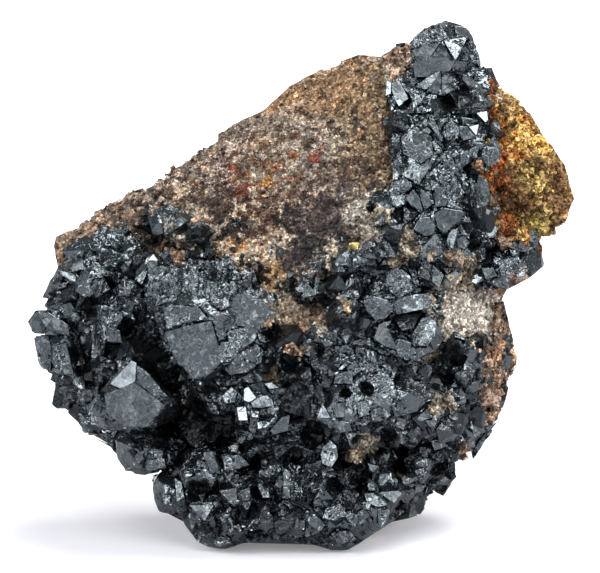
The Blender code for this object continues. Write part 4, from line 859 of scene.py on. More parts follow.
def hollow_at(x, h, d):
    """How deep a place lies in a hollow, from 0 to 1."""
    ragged = noise.noise(Vector((x, h, d)) / 1.3) * 0.35
    deep = 0.0
    for hollow_x, hollow_h, reach in HOLLOWS:
        away = math.hypot(x - hollow_x, h - hollow_h) / reach + ragged
        deep = max(deep, 1 - fade(away, 0.55, 1.2))
    return deep


def sink_hollows(bm):
    """Push the hollows back towards the rock and give them the darkest copies of the crystal material, as painted
    shade.
    """
    depths = {}
    for vert in bm.verts:
        x, h, d = place_of(vert.co)
        deep = hollow_at(x, h, d) if d < 8 else 0.0
        if deep <= 0:
            continue
        depths[vert] = deep
        start = at(x, h, -40)
        hit, _, _, distance = skin_tree.ray_cast(start, -to_eye)
        room = (distance - (vert.co - start).length if hit else HOLLOW_DEPTH * MM) - 0.25 * MM
        if room > 0:
            vert.co -= to_eye * min(room, deep * HOLLOW_DEPTH * MM)
    # Painted shade: faces deep in a hollow get the darkest copy of the crystal material, and faces at its rim the
    # dull, darker copy.
    for face in bm.faces:
        deep = sum(depths.get(vert, 0.0) for vert in face.verts) / len(face.verts)
        if deep > 0.3 and face.material_index in (BRIGHT, PLAIN, DULL_AND_SHADED):
            face.material_index = SHADED_HOLLOW if deep > 0.55 else DULL_AND_SHADED


def roughen_crystals(bm):
    layer = bm.faces.layers.float.new("hackle")
    divide_finely(bm, FINE_EDGE)
    bm.normal_update()
    moves = []
    for vert in bm.verts:
        amount = hackle_at(vert.co)
        place = vert.co / MM
        push = (cell_tilt(place, 1.5) * 0.55 + cell_tilt(place, 0.7) * 0.4) * amount
        if vert.normal.dot(to_eye) > 0.2 and covered(vert.co):
            push = min(push, 0) - 0.45
        moves.append(vert.normal * push * MM)
    for face in bm.faces:
        middle = face.calc_center_median()
        face[layer] = hackle_at(middle)
        shown = matrix_at(middle)
        if shown:
            face.material_index = shown
    for vert, move in zip(bm.verts, moves):
        vert.co += move


# %% [markdown]
# ## The crust between the large crystals
# In the hollows the crust is a carpet of small crystals. Most are dull, and a few are bright.

# %% Crystals on the crust
DRUSE = {
    # node: (crystal radius mm, how far from the rock the carpet reaches in mm)
    "crest_crystals": (0.6, 2.45), "column_upper_crystals": (0.75, 2.5),
    "column_lower_crystals": (0.8, 2.45), "flank_crystals": (0.75, 2.5),
    "ring_left_crystals": (0.65, 2.5), "ring_crystals": (0.65, 2.45), "centre_crystals": (0.7, 2.5),
    "glitter_crystals": (0.8, 2.7), "right_centre_crystals": (0.62, 2.6),
    "left_upper_crystals": (0.7, 2.6), "left_edge_crystals": (0.7, 2.5),
    "front_left_crystals": (0.7, 2.5), "back_left_druse": (0.75, 2.7),
    "lower_left_crystals": (0.7, 2.5), "bottom_left_crystals": (0.65, 2.6),
    "bottom_centre_crystals": (0.62, 2.6), "bottom_right_crystals": (0.65, 2.6),
    "lower_right_crystals": (0.55, 2.9), "right_lower_crystals": (0.55, 2.9),
    "right_edge_crystals": (0.5, 2.9), "upper_left_matrix_crystals": (0.55, 9),
    "middle_matrix_crystals": (0.5, 9), "back_right_crystals": (0.8, 2.6),
    "back_left_crystals": (0.8, 2.6), "back_low_crystals": (0.8, 2.6),
}
CRUST_FLOOR = 0.9


def growing_spots(bm, radius, reach, seed):
    _, _, area = surface_points(bm, 10, seed)
    wanted = area / MM ** 2 / radius ** 2 * 2.4
    points, normals, _ = surface_points(bm, wanted, seed)
    rng = np.random.default_rng(seed + 1)
    spots = []
    sizes = []
    places = []
    for point, normal in zip(points, normals):
        _, _, _, gap = rock_tree.find_nearest(Vector(point))
        gap /= MM
        if gap < CRUST_FLOOR or point[2] < 0.0008 or gap > reach or matrix_at(point):
            continue
        size = radius * 0.86 * float(np.exp(rng.normal() * 0.5))
        sizes.append(size * MM)
        places.append(point)
        spots.append((point, normal, size * MM))
    if not spots:
        return []
    kept = spread_out(places, sizes, 0.5)
    return [spots[index] for index in kept]


# %% [markdown]
# ## The facets that catch the eye
# Some facets of the real specimen are large or bright enough to be known one by one. A facet
# flashes when it faces halfway between a lamp and the eye, and it stays grey when it faces a
# dim wall. So each of these facets has its outline on the display face and the lamp or wall
# that it answers to. Each becomes the front of a small crystal block that stands just proud of
# the crust. Where the real facet is hackly, the block is hackly too.

# %% Facets with their outlines
WHITE, PALE, GREY, DIM, DARK = 0, 1, 2, 3, 4
ANSWERS = {
    WHITE: Vector(LAMPS["top_light"][0]),
    PALE: Vector(LAMPS["left_wall"][0]),
    GREY: Vector(LAMPS["front_wall"][0]),
    DIM: Vector(LAMPS["dim_wall"][0]),
    DARK: Vector((0.55, -0.75, 0.75)),
}
FACETS = [
    # what it answers to, how hackly, corners (x, h)
    # crest
    (WHITE, 0.35, [(20.4, 72.4), (24, 73), (22.1, 69.4)]),
    (DARK, 0.1, [(20.1, 72.1), (18.7, 70), (21.4, 70)]),
    (GREY, 0.1, [(15.9, 70.9), (16.9, 71.6), (20, 72.1), (18.6, 70), (16.7, 69.3)]),
    (DIM, 0.05, [(16, 69.1), (18.6, 70), (21.6, 70), (22.1, 69.4), (21.3, 68), (20, 68.4),
        (17.9, 67.1), (16.3, 67.1)]),
    (WHITE, 1, [(15.6, 71.1), (16.3, 72.9), (17.7, 74), (20.9, 75.1), (21.7, 74.4), (21.4, 73),
        (20.1, 72.3), (17.1, 71.7)]),
    (DIM, 0.2, [(22.1, 74.6), (23.7, 74.3), (24.6, 73.1), (25, 71.7), (24, 73), (22.1, 73.6)]),
    (PALE, 0.7, [(24, 72.9), (25, 71.7), (25.6, 69.7), (23.4, 69.4), (22.4, 69.7)]),
    (PALE, 0.15, [(20, 68.1), (19.1, 66.3), (17.9, 65.3), (16.3, 65.7), (17.9, 67)]),
    (DIM, 0.1, [(20, 68), (20.1, 64.4), (18, 65.1), (19.1, 66.3)]),
    (DARK, 0.1, [(20.1, 68), (21.7, 67.1), (22.1, 65.4), (20.1, 64.3)]),
    (WHITE, 0.2, [(12.3, 66.7), (13, 66.4), (12.9, 64.7), (12.1, 64.4)]),
    (PALE, 0.1, [(13, 66.3), (14, 66.6), (14.9, 65.1), (15.4, 64), (14.3, 63.3), (13, 64.9)]),
    (WHITE, 0.1, [(13.1, 64.6), (13.9, 64.4), (14.7, 63.4), (14, 62.9)]),
    (DARK, 0.1, [(12.1, 64.4), (12.9, 64.4), (13.7, 62.9), (12.9, 62), (12, 62.9)]),
    # upper column
    (WHITE, 0.1, [(25, 62), (26.6, 62.3), (26.7, 61), (26.3, 60.6)]),
    (WHITE, 0.05, [(23.9, 60), (25.4, 60.4), (25, 58.7)]),
    (GREY, 0.1, [(22.6, 60.1), (23.7, 60), (25, 58.6), (23.1, 58), (22.6, 58.9)]),
    (PALE, 0.5, [(20.7, 60.4), (21.4, 60.9), (22.6, 60), (22.4, 58.3), (20.9, 58.1)]),
    (DARK, 0.1, [(22.9, 61.4), (25.4, 61), (25, 60.6), (23.1, 60.3)]),
    (GREY, 0.2, [(18.3, 61.4), (19.1, 60.9), (20.3, 58.1), (20, 57.9), (18.3, 60.3)]),
    (WHITE, 1, [(16.1, 61), (17.7, 61.6), (18.6, 59.7), (18.1, 59), (16.4, 59.7)]),
    (PALE, 0.3, [(16.3, 62.6), (17.4, 63.1), (18, 62.3), (16.6, 61.9)]),
    (DARK, 0.3, [(14.3, 58.6), (16.4, 60), (18.6, 58.6), (18.9, 56.1), (17.1, 54.7), (14.6, 56.1)]),
    (PALE, 1, [(19.6, 54), (21.4, 55.4), (22.6, 53.3), (21.1, 51.1), (19.7, 51.9)]),
    (GREY, 0.1, [(25.3, 53.3), (26.7, 52.1), (27, 50), (26.1, 48.6), (25.7, 50.4), (25.1, 52.1)]),
    (DARK, 0.1, [(24.1, 52.1), (25.1, 52), (25.9, 50.3), (25.4, 49), (24.3, 50.3)]),
    (DARK, 0.3, [(25.9, 56.9), (27.6, 58.9), (28.6, 57.1), (28.4, 55.1), (26.7, 54.3),
        (25.7, 55.7)]),
    (WHITE, 0.1, [(28.1, 58.4), (29, 58.6), (28.7, 57.3)]),
    (WHITE, 0.8, [(20.7, 56.1), (21.7, 55.7), (21.1, 55)]),
    (PALE, 0.9, [(20, 51.7), (21.7, 51.1), (21.1, 49.7), (20.1, 50)]),
    # lower column
    (GREY, 0.5, [(12.9, 52.1), (14.6, 52.6), (15.9, 52), (15.4, 50.9), (13.7, 50.3), (12.6, 51.1)]),
    (GREY, 0.1, [(14.9, 49.9), (16, 51.1), (16.9, 50), (17.4, 48), (15.7, 48.7)]),
    (DIM, 0.2, [(17.1, 51.1), (18.3, 50.3), (18.6, 48.9), (17.6, 48.1), (17, 49.7)]),
    (GREY, 0.4, [(19, 51.1), (20.6, 51.6), (21, 50.1), (20.6, 48.7), (19.1, 48.6)]),
    (DARK, 0.1, [(14.6, 48.6), (16.4, 48.1), (16.7, 47.6), (15.4, 46.6), (14.7, 46)]),
    (DIM, 0.1, [(16, 45.4), (16.9, 47.1), (18.3, 47.1), (19.1, 46), (18.9, 44.7), (17.7, 44.4)]),
    (DIM, 0.1, [(19, 47.7), (20.4, 48.4), (23, 48), (23.1, 47.4), (21.4, 45.7), (20.3, 44.9),
        (19.4, 45.7)]),
    (PALE, 0.1, [(21.4, 45.4), (22.3, 45.6), (22.1, 44.7), (21.6, 42.6), (21, 43), (20.6, 43.6),
        (20.9, 44.6)]),
    (GREY, 0.1, [(19.1, 44.9), (20, 43.7), (20, 42.3), (19.6, 41.7), (17.1, 41.3), (17.3, 42.9)]),
    (DARK, 0.1, [(18, 40.7), (18.6, 40.4), (18.3, 38.1), (16.9, 38.7), (17.3, 40)]),
    (GREY, 0.1, [(18.7, 40.4), (20.3, 39), (19.6, 37.1), (18.6, 38)]),
    (GREY, 0.1, [(20, 38), (20.9, 39), (22, 39.7), (22.7, 39), (21.7, 37.6), (20.6, 37.1)]),
    (DARK, 0.1, [(20.1, 40), (21.7, 40), (20.9, 39)]),
    (WHITE, 0.05, [(8.9, 47.4), (9.6, 47.9), (9.7, 47)]),
    (PALE, 0.7, [(10.3, 46.7), (11.4, 47.4), (12.3, 46.6), (11.4, 45.7), (10.4, 45.9)]),
    (DIM, 0.3, [(22.1, 44), (23.1, 44.6), (24, 43.6), (23.3, 42.6), (22.3, 42.9)]),
    # ring
    (GREY, 0.9, [(12.1, 39.4), (14.3, 40), (16.7, 37.7), (15.7, 36.6), (13.7, 35.9), (12.3, 36.9)]),
    (GREY, 0.2, [(8.9, 35.4), (10.3, 36), (12.3, 35.4), (13.1, 34.3), (12.1, 32.9), (10.6, 32.6),
        (9.3, 34.1)]),
    (PALE, 0.4, [(12.3, 35.4), (14.3, 35.7), (16.3, 36.3), (17.9, 36.3), (18.6, 35.4),
        (18.1, 34.3), (15, 33.9), (13.1, 33.3)]),
    (GREY, 0.1, [(11.1, 32.1), (11.9, 32.3), (12.9, 30.1), (13.9, 28.3), (12.1, 28.9), (10.3, 30)]),
    (PALE, 0.3, [(17.1, 32.9), (18.6, 33.4), (19.1, 32.3), (19, 30.4), (17.9, 29), (16, 29),
        (15.7, 30.4)]),
    (WHITE, 0.05, [(9.4, 31.4), (10.9, 31.7), (10, 30.1)]),
    (PALE, 0.1, [(11.6, 32.4), (12.9, 32.7), (12.3, 31)]),
    (GREY, 0.2, [(14, 30), (15.6, 29.4), (15.4, 28), (14, 27.4), (13.4, 28.6)]),
    (DARK, 0.2, [(13.3, 32.9), (14.6, 33.4), (17.1, 33.7), (16, 31.4), (14.3, 31.1)]),
    # centre
    (DIM, 0.15, [(-18.9, 31), (-15.7, 31.9), (-12.4, 32.6), (-11.4, 29), (-11.1, 26.6),
        (-13.1, 24.9), (-14.9, 24.3), (-17.7, 27.6)]),
    (PALE, 0.9, [(-21.4, 40), (-19.3, 40.3), (-16.9, 40), (-16.6, 36.9), (-17.4, 35.4),
        (-20.3, 34.7), (-21.3, 36.1)]),
    (WHITE, 1, [(-12.6, 38), (-9.1, 38), (-9.7, 34.7), (-11.1, 34), (-12.6, 35.4)]),
    (PALE, 1, [(-14.3, 40.9), (-9.7, 40.9), (-8.6, 38.3), (-12.3, 37.7), (-14.3, 39)]),
    (GREY, 0.8, [(-16.6, 39.7), (-14.4, 40.3), (-14.3, 36.9), (-15.7, 35.4), (-16.6, 36.6)]),
    (GREY, 0.3, [(-10, 35.4), (-7.9, 36.6), (-6.3, 35.7), (-4.6, 35.1), (-3.7, 33.7),
        (-4.9, 32.3), (-7.1, 31.6), (-9.3, 31.9), (-10.3, 33.7)]),
    (DARK, 0.3, [(-10.3, 31.1), (-7.1, 31.4), (-5.4, 32.1), (-6.4, 29.7), (-8, 28.7), (-10, 29.7)]),
    (GREY, 0.9, [(-11.1, 29.7), (-8.9, 29.7), (-7.9, 29), (-9.7, 26.9), (-11.1, 26.6),
        (-11.6, 28.3)]),
    (DIM, 0.5, [(-10.6, 25.7), (-8.6, 28), (-6.3, 29.3), (-4.9, 28.3), (-5.4, 26.6), (-7.7, 25.3),
        (-9.7, 24.9)]),
    (WHITE, 0.05, [(-20.7, 42), (-20, 41), (-21.6, 41)]),
    (GREY, 0.1, [(-21.7, 40.9), (-20, 41), (-20.3, 39.7), (-21.4, 39.7)]),
    (DIM, 0.7, [(-19.4, 34.6), (-14.3, 34.6), (-12.9, 32.9), (-15.7, 32.1), (-18.6, 31.7)]),
    # front left
    (PALE, 0.05, [(-23.7, 27), (-22.9, 26.6), (-23.1, 24), (-25.1, 23), (-26.7, 23.7)]),
    (DIM, 0.12, [(-25.1, 23), (-23.1, 23.9), (-20, 21.6), (-18.9, 20.7), (-20.3, 19),
        (-21.4, 17.7), (-24.6, 17.7), (-27.1, 19.7), (-27.4, 22.3)]),
    (GREY, 0.3, [(-22.9, 26.3), (-21.4, 25.4), (-19.7, 23.3), (-18.6, 21.9), (-20, 21.6),
        (-23, 24)]),
    (WHITE, 0.1, [(-20, 22.1), (-18.9, 22), (-17.7, 21.7), (-17.9, 20.9), (-18.9, 20.9)]),
    (GREY, 0.2, [(-30.9, 22.9), (-29.3, 22.6), (-29.7, 20.9), (-31.4, 21.1)]),
    (WHITE, 0.1, [(-31.7, 20.6), (-30.9, 19.9), (-30.3, 18.3), (-31.1, 19)]),
    (WHITE, 0.1, [(-30.9, 23), (-29.7, 23.6), (-29, 23), (-30.3, 22.7)]),
    (DIM, 0.3, [(-28.6, 21.7), (-27.4, 21.7), (-27.1, 19.4), (-28.6, 18.9), (-29.4, 20)]),
    # left edge
    (GREY, 0.1, [(-37.4, 33.7), (-35.7, 33.7), (-32.9, 32), (-32.6, 30.3), (-34.6, 30.9),
        (-35.7, 31.1)]),
    (GREY, 0.15, [(-35, 29), (-33.1, 29.4), (-32.6, 26.9), (-32, 24.9), (-33.7, 24.9),
        (-35.1, 26.6)]),
    (DIM, 0.35, [(-37.7, 30.1), (-35.7, 30.4), (-35.1, 28.3), (-35.4, 25.1), (-36.6, 26.1),
        (-37.4, 28.3)]),
    (GREY, 0.3, [(-34.3, 34.7), (-32.6, 35.1), (-31.1, 32.9), (-31.7, 31.9), (-33.4, 32.9)]),
    (DIM, 0.2, [(-38.4, 32.7), (-37.4, 33.7), (-36, 31.9), (-36.3, 30.6), (-37.7, 30.7)]),
    # glitter
    (WHITE, 0.1, [(-7.9, 23), (-7.3, 23.3), (-6.1, 21.7), (-7.1, 21.1), (-7.9, 21.4)]),
    (WHITE, 0.1, [(-8.9, 20.4), (-7.6, 20.6), (-7.3, 18.6), (-8.6, 18.6)]),
    (PALE, 0.1, [(-6.9, 21.1), (-5.4, 22.1), (-4, 21.6), (-3.7, 20.7), (-5.4, 20.3), (-6.6, 20.4)]),
    (WHITE, 0.1, [(-6, 18.3), (-4.3, 19), (-3.4, 19), (-4.6, 17.7), (-5.9, 17.4)]),
    (WHITE, 1, [(-8.9, 16.9), (-6.9, 17.1), (-7.1, 16), (-8.6, 15.7)]),
    (PALE, 0.3, [(-11, 21.9), (-9.7, 23.3), (-8.9, 22.6), (-9.1, 21.1), (-10.6, 20.9)]),
    (PALE, 0.1, [(-5.1, 23.7), (-4, 23.9), (-2.9, 23.1), (-4.3, 22.9)]),
    (DARK, 0.1, [(-4.6, 22.9), (-1.7, 23.1), (-2.3, 22.1), (-4, 22.3)]),
    (WHITE, 0.8, [(-13.1, 20.9), (-11.1, 20.7), (-11.4, 19.4), (-12.6, 19.9)]),
    (GREY, 0.2, [(-2.6, 19), (-1.4, 19.4), (-1.7, 17.1), (-3.6, 16.6), (-4.3, 17.1)]),
    (WHITE, 0.7, [(-4.6, 20.6), (-3.3, 20.4), (-3.7, 19.3), (-4.6, 19.6)]),
    (WHITE, 0.2, [(-6.9, 20), (-5.7, 19.9), (-5.9, 19), (-6.7, 19.1)]),
    # right centre
    (PALE, 0.1, [(3.1, 20.9), (4.4, 18.9), (2.3, 18.9)]),
    (DARK, 0.1, [(4.3, 20.9), (6.4, 21.1), (6.3, 19), (5.1, 19)]),
    (GREY, 0.2, [(5, 25.1), (7.4, 25.7), (7.4, 23.7), (4.7, 23.7)]),
    (WHITE, 0.2, [(6.7, 27.1), (7.1, 26.7), (5.1, 25), (4.7, 25.1)]),
    (WHITE, 1, [(4.7, 29), (7.1, 29.4), (7.7, 28), (5.7, 27.3)]),
    (PALE, 1, [(7.9, 28.6), (10.3, 28.3), (11.1, 25.4), (9.1, 25.1), (8, 26.9)]),
    (PALE, 0.2, [(3.1, 14.7), (4.3, 15.7), (5.1, 15), (5.3, 13.3), (4.4, 11.9), (3.1, 12.4),
        (2.9, 13.7)]),
    (WHITE, 0.1, [(0.4, 11.6), (1.4, 11.1), (0.6, 10)]),
    (DIM, 0.2, [(4.6, 18.6), (6.9, 18.3), (7.4, 17.1), (5.7, 16.9)]),
    (GREY, 0.4, [(7.9, 21.1), (9.3, 21.4), (9.7, 19.4), (8.3, 19)]),
    (GREY, 0.9, [(8.6, 19), (11.4, 20.4), (12.9, 19.4), (11.4, 18.3)]),
    # bottom left
    (GREY, 0.2, [(-13.6, 14), (-12.4, 14.3), (-11.7, 12.6), (-11.1, 10.9), (-12.6, 11.1)]),
    (DIM, 0.2, [(-11.1, 13.7), (-8.6, 13.7), (-7.1, 12.3), (-9.1, 11.6), (-10.6, 11.7)]),
    (PALE, 0.1, [(-10.3, 14.9), (-8.6, 14.4), (-8.3, 13.7), (-9.7, 14.1)]),
    (WHITE, 0.1, [(-16.3, 11.4), (-14.9, 11.6), (-15, 10.9), (-16.1, 10.4)]),
    (PALE, 0.2, [(-17.7, 10.4), (-16.7, 9.7), (-16.3, 7.6), (-17.4, 6.9)]),
    (PALE, 0.1, [(-15.7, 6.6), (-13.4, 6.3), (-12.1, 6.6), (-13.4, 4.3), (-14.6, 5.4)]),
    (WHITE, 0.2, [(-14.3, 8), (-13.3, 8.3), (-13.7, 6.9)]),
    (WHITE, 0.6, [(-10, 3.6), (-8.6, 3.9), (-8.1, 2.9), (-9.7, 2.6)]),
    (WHITE, 0.1, [(-7.1, 3), (-6.3, 4), (-6.4, 3)]),
    (DARK, 0.1, [(-8.9, 8.3), (-7.1, 9.4), (-6.9, 7.6), (-8.3, 6.9)]),
    (WHITE, 0.1, [(-8.6, 8.7), (-7.4, 9.6), (-8, 8.3)]),
    (PALE, 1, [(-12, 1.7), (-10, 2.1), (-9.7, 1.1), (-11.4, 0.9)]),
    (GREY, 0.2, [(-2.3, 11.9), (-1.3, 11.1), (-1.4, 7.6), (-2.4, 8.3)]),
    (WHITE, 0.2, [(-1.7, 7.1), (0, 6.7), (0.9, 7.7), (0.3, 6.3)]),
    (GREY, 0.2, [(-6.3, 9.7), (-5.4, 9.7), (-4.3, 7.6), (-5.1, 7.6)]),
    (WHITE, 0.2, [(-4.6, 5.9), (-3.9, 5.1), (-4.6, 4.6)]),
    (DIM, 0.3, [(-0.4, 4.7), (0.7, 4.3), (0.7, 2.9), (-0.7, 3.3)]),
    (WHITE, 0.8, [(-5.4, 12.9), (-4.6, 13.1), (-4.6, 11.7), (-5.4, 12)]),
    (DIM, 0.2, [(-22.1, 14.7), (-19.3, 14.3), (-18.9, 11.9), (-21.4, 11.4)]),
    (GREY, 0.3, [(-9.7, 10.6), (-8.3, 11.1), (-7.7, 10), (-9.1, 9.7)]),
    # bottom right
    (GREY, 0.1, [(11, 6.1), (12.6, 6.4), (12.6, 5.4), (11.7, 3.3), (11.1, 3.6)]),
    (PALE, 0.2, [(9, 8.3), (10.3, 8.3), (12.3, 6.6), (10.9, 6.3), (9.4, 7)]),
    (GREY, 0.3, [(3.6, 6.1), (5.7, 6.9), (6.9, 5.1), (5, 4.3), (3.1, 4.7)]),
    (DIM, 0.8, [(6.4, 5.1), (9.3, 6.1), (10.3, 4.3), (7.4, 3.7)]),
    (WHITE, 0.1, [(1.1, 5.4), (1.4, 6.3), (1.9, 5.4)]),
    (DIM, 0.2, [(0.9, 5.1), (2.3, 5.1), (3.6, 3.7), (2.6, 2.9), (1.1, 4)]),
    (PALE, 0.2, [(1.9, 7.3), (2.9, 9), (3.3, 8.3)]),
    (DIM, 0.2, [(4.3, 2.6), (7.1, 2.9), (7.9, 1.7), (5.4, 0.9)]),
    (PALE, 0.6, [(9.4, 10.3), (10.6, 9.7), (11, 8.6), (9.7, 8.6)]),
    # lower right
    (WHITE, 0.2, [(22.6, 16.4), (23.4, 16.7), (24, 15.9), (22.9, 15.3)]),
    (PALE, 0.2, [(23.4, 17.7), (24.3, 18.3), (24.7, 16.9)]),
    (GREY, 0.2, [(24.6, 18), (25.6, 17.7), (25.6, 16), (24.6, 16.3)]),
    (GREY, 0.1, [(16.3, 18.7), (17.9, 20.1), (18.7, 18.9), (17.1, 18.3)]),
    (GREY, 0.2, [(13.6, 19), (15, 18.6), (14.6, 17.1), (13.4, 17.7)]),
    (PALE, 0.3, [(16.9, 14.6), (17.9, 14.6), (17.7, 13.6), (16.9, 13.7)]),
    (WHITE, 0.3, [(14.7, 12.1), (15.7, 12.3), (15.4, 11.6)]),
    (DIM, 0.2, [(18.6, 15.4), (20.3, 16), (20.9, 14.6), (19.1, 14)]),
    (GREY, 0.2, [(17.7, 8.6), (18.7, 8.9), (19, 7.9), (17.9, 7.6)]),
    (GREY, 0.3, [(14.3, 10.3), (16, 10.9), (16.6, 10), (14.9, 9.1)]),
    (PALE, 0.3, [(12, 14.6), (13, 14.9), (13.1, 13.7), (12.1, 13.6)]),
    # flank
    (GREY, 0.7, [(28.1, 40.9), (30.7, 41.9), (31.4, 40.4), (30, 39), (28.6, 39)]),
    (WHITE, 0.6, [(29.7, 42.6), (31, 42.7), (30.9, 41.9), (29.9, 41.7)]),
    (DIM, 0.4, [(26, 38.3), (28.6, 38.9), (32.6, 40), (31.1, 37.7), (28.6, 37)]),
    (DIM, 0.2, [(25.7, 40), (27.4, 40), (28, 38.9), (26.3, 38.4)]),
    # bottom
    (WHITE, 0.3, [(3.4, 15.2), (4.6, 15.4), (4.3, 13.7), (3.3, 14)]),
    (PALE, 0.4, [(-9.9, 15), (-8.6, 15.1), (-8.9, 14), (-9.8, 14.1)]),
    (WHITE, 0.3, [(-16.3, 11.5), (-15, 11.6), (-15.3, 10.4)]),
    (PALE, 0.4, [(-13.6, 7), (-12.3, 7.1), (-12.6, 5.9), (-13.4, 6)]),
    (WHITE, 0.3, [(-8.4, 4.6), (-7.3, 4.5), (-7.6, 3.3), (-8.3, 3.5)]),
    (WHITE, 0.3, [(0.1, 7), (1.4, 7.2), (1.2, 5.9)]),
    (PALE, 0.4, [(8.8, 7), (10, 7.1), (9.8, 5.8), (8.9, 6)]),
    (WHITE, 0.3, [(-2.5, 11.6), (-1.2, 11.7), (-1.6, 10.5)]),
    (WHITE, 0.3, [(-24.2, 14.3), (-23.1, 14.2), (-23.4, 13.1)]),
    (PALE, 0.4, [(-5.6, 8.8), (-4.4, 9), (-4.3, 7.7), (-5.4, 7.8)]),
    (WHITE, 0.3, [(5.3, 10.4), (6.4, 10.6), (6.2, 9.4)]),
    (PALE, 0.4, [(-19.4, 7.9), (-18.2, 8), (-18.4, 6.8), (-19.2, 6.9)]),
    # upper left
    (WHITE, 1, [(-27.9, 34), (-26, 35.4), (-25, 32.9), (-26, 31.1), (-27.4, 31.9)]),
    (WHITE, 0.9, [(-31.1, 40.9), (-29.3, 41.7), (-28.1, 40.4), (-30, 39.4)]),
    (DIM, 0.7, [(-30, 38.3), (-27.9, 38.9), (-26.9, 36.9), (-28.9, 35.7)]),
    (WHITE, 0.2, [(-25.3, 29.3), (-25, 28.9), (-26.7, 27.1), (-27.1, 27.6)]),
    (WHITE, 1, [(-30.3, 28.3), (-28.9, 28.4), (-29, 26.9), (-30.9, 27.3)]),
    (WHITE, 1, [(-28.1, 26.6), (-26, 26.6), (-26.9, 24.3), (-27.9, 25.1)]),
    (PALE, 0.1, [(-24.9, 40.9), (-23.7, 41.1), (-24.3, 40.1)]),
    (GREY, 0.5, [(-27.4, 31.9), (-25.4, 31.1), (-25.1, 29.4), (-27.1, 29.7)]),
    (PALE, 0.6, [(-34.3, 37.6), (-33.1, 38), (-33.4, 37.3), (-34.6, 36.9)]),
]


def facet_lean(answer, rng):
    """The direction that a facet faces to mirror its lamp or wall."""
    lamp = (ANSWERS[answer] - Vector((0, 0, 0.035))).normalized()
    stray = Vector(rng.normal(size=3)) * 0.035
    return (lamp + to_eye + stray).normalized()


def facet_plane(corners, lean, tree):
    """A point on the facet's plane, just in front of the crust below its corners."""
    around = corners + [tuple(np.mean(corners, axis=0))]
    base = at(*around[-1], 0)
    lift = None
    for x, h in around:
        start = at(x, h, -40)
        hit, _, _, _ = tree.ray_cast(start, -to_eye)
        if hit is None:
            continue
        reach = (hit - base).dot(lean)
        lift = reach if lift is None else max(lift, reach)
    if lift is None:
        return None
    middle, _, _, _ = tree.ray_cast(at(*around[-1], -40), -to_eye)
    if middle is not None:
        lift = min(lift, (middle - base).dot(lean) + 1.7 * MM)
    return base + lean * (lift + 0.15 * MM)


def facet_block(corners, lean, point):
    """A block whose front is the facet and whose body runs back into the crust."""
    bm = bmesh.new()
    front = []
    for x, h in corners:
        start = at(x, h, 0)
        run = (point - start).dot(lean) / (-to_eye).dot(lean)
        front.append(start - to_eye * run)
    centre = sum(front, Vector()) / len(front)
    back = [centre + (place - centre) * 0.85 - to_eye * 2.6 * MM for place in front]
    bmesh.ops.convex_hull(bm, input=[bm.verts.new(place) for place in front + back])
    bmesh.ops.dissolve_limit(bm, angle_limit=math.radians(2), verts=bm.verts, edges=bm.edges)
    bmesh.ops.recalc_face_normals(bm, faces=bm.faces)
    bmesh.ops.bevel(bm, geom=bm.edges[:], offset=0.055 * MM, segments=1, profile=0.5,
                    affect="EDGES", material=-1, clamp_overlap=True)
    return bm


def inside_outline(x, h, corners):
    """True when a place on the face lies inside a facet's outline."""
    inside = False
    for (x0, h0), (x1, h1) in zip(corners, corners[1:] + corners[:1]):
        if (h0 > h) != (h1 > h) and x < (x1 - x0) * (h - h0) / (h1 - h0) + x0:
            inside = not inside
    return inside


def crust_trees():
    """A search tree for each group of crystals."""
    trees = {}
    for name in DRUSE:
        bm = merged_copy(name)
        trees[name] = BVHTree.FromBMesh(bm)
        bm.free()
    return trees


ROUGH_BELOW = 15
rng = np.random.default_rng(77)
trees = crust_trees()
whole_crust = search_tree(DRUSE)
facet_bodies = {name: [] for name in DRUSE}
for answer, hackle, corners in FACETS:
    centre = tuple(np.mean(corners, axis=0))
    best = None
    for name, tree in trees.items():
        hit, _, _, distance = tree.ray_cast(at(*centre, -40), -to_eye)
        if hit is not None and (best is None or distance < best[0]):
            best = (distance, name)
    if best is None:
        print("no crust under", centre)
        continue
    lean = facet_lean(answer, rng)
    point = facet_plane(corners, lean, whole_crust)
    if centre[1] < ROUGH_BELOW and answer > PALE:
        hackle = max(hackle, 0.6)
    facet_bodies[best[1]].append((facet_block(corners, lean, point), hackle, answer))
print("facets", len(FACETS))


CELL = 0.2
facet_cells = set()
for _, _, corners in FACETS:
    low_x, low_h = np.min(corners, axis=0)
    high_x, high_h = np.max(corners, axis=0)
    for column in range(math.floor(low_x / CELL), math.ceil(high_x / CELL) + 1):
        for row in range(math.floor(low_h / CELL), math.ceil(high_h / CELL) + 1):
            if inside_outline(column * CELL, row * CELL, corners):
                facet_cells.add((column, row))


def covered(point):
    """True for a place on the front that one of the drawn facets covers."""
    x, h, d = place_of(point)
    return d < 6 and (round(x / CELL), round(h / CELL)) in facet_cells


BRASSY_PLACES = []
for name in ("brassy_grain_upper", "brassy_grain_lower"):
    corners = [vert.co for vert in nodes[name].data.vertices]
    BRASSY_PLACES.append(place_of(sum(corners, Vector()) / len(corners))[:2])


def hides_brass(x, h):
    """True for a place so near a brassy grain that a crystal there would cover it."""
    return any(math.hypot(x - a, h - b) < 1.9 for a, b in BRASSY_PLACES)


def crowds_facet(spot):
    """True for a crystal that would cover a brassy grain or the edge of a drawn facet."""
    point, _, radius = spot
    if hides_brass(*place_of(point)[:2]):
        return True
    step = radius * 0.6
    around = [Vector(point) + Vector(move) * step for move in SQUARE]
    return covered(point) or any(covered(place) for place in around)


def within_outline(point):
    """True for a place that the outline of the real specimen holds."""
    x, h, _ = place_of(point)
    return inside_outline(x, h, OUTLINE)


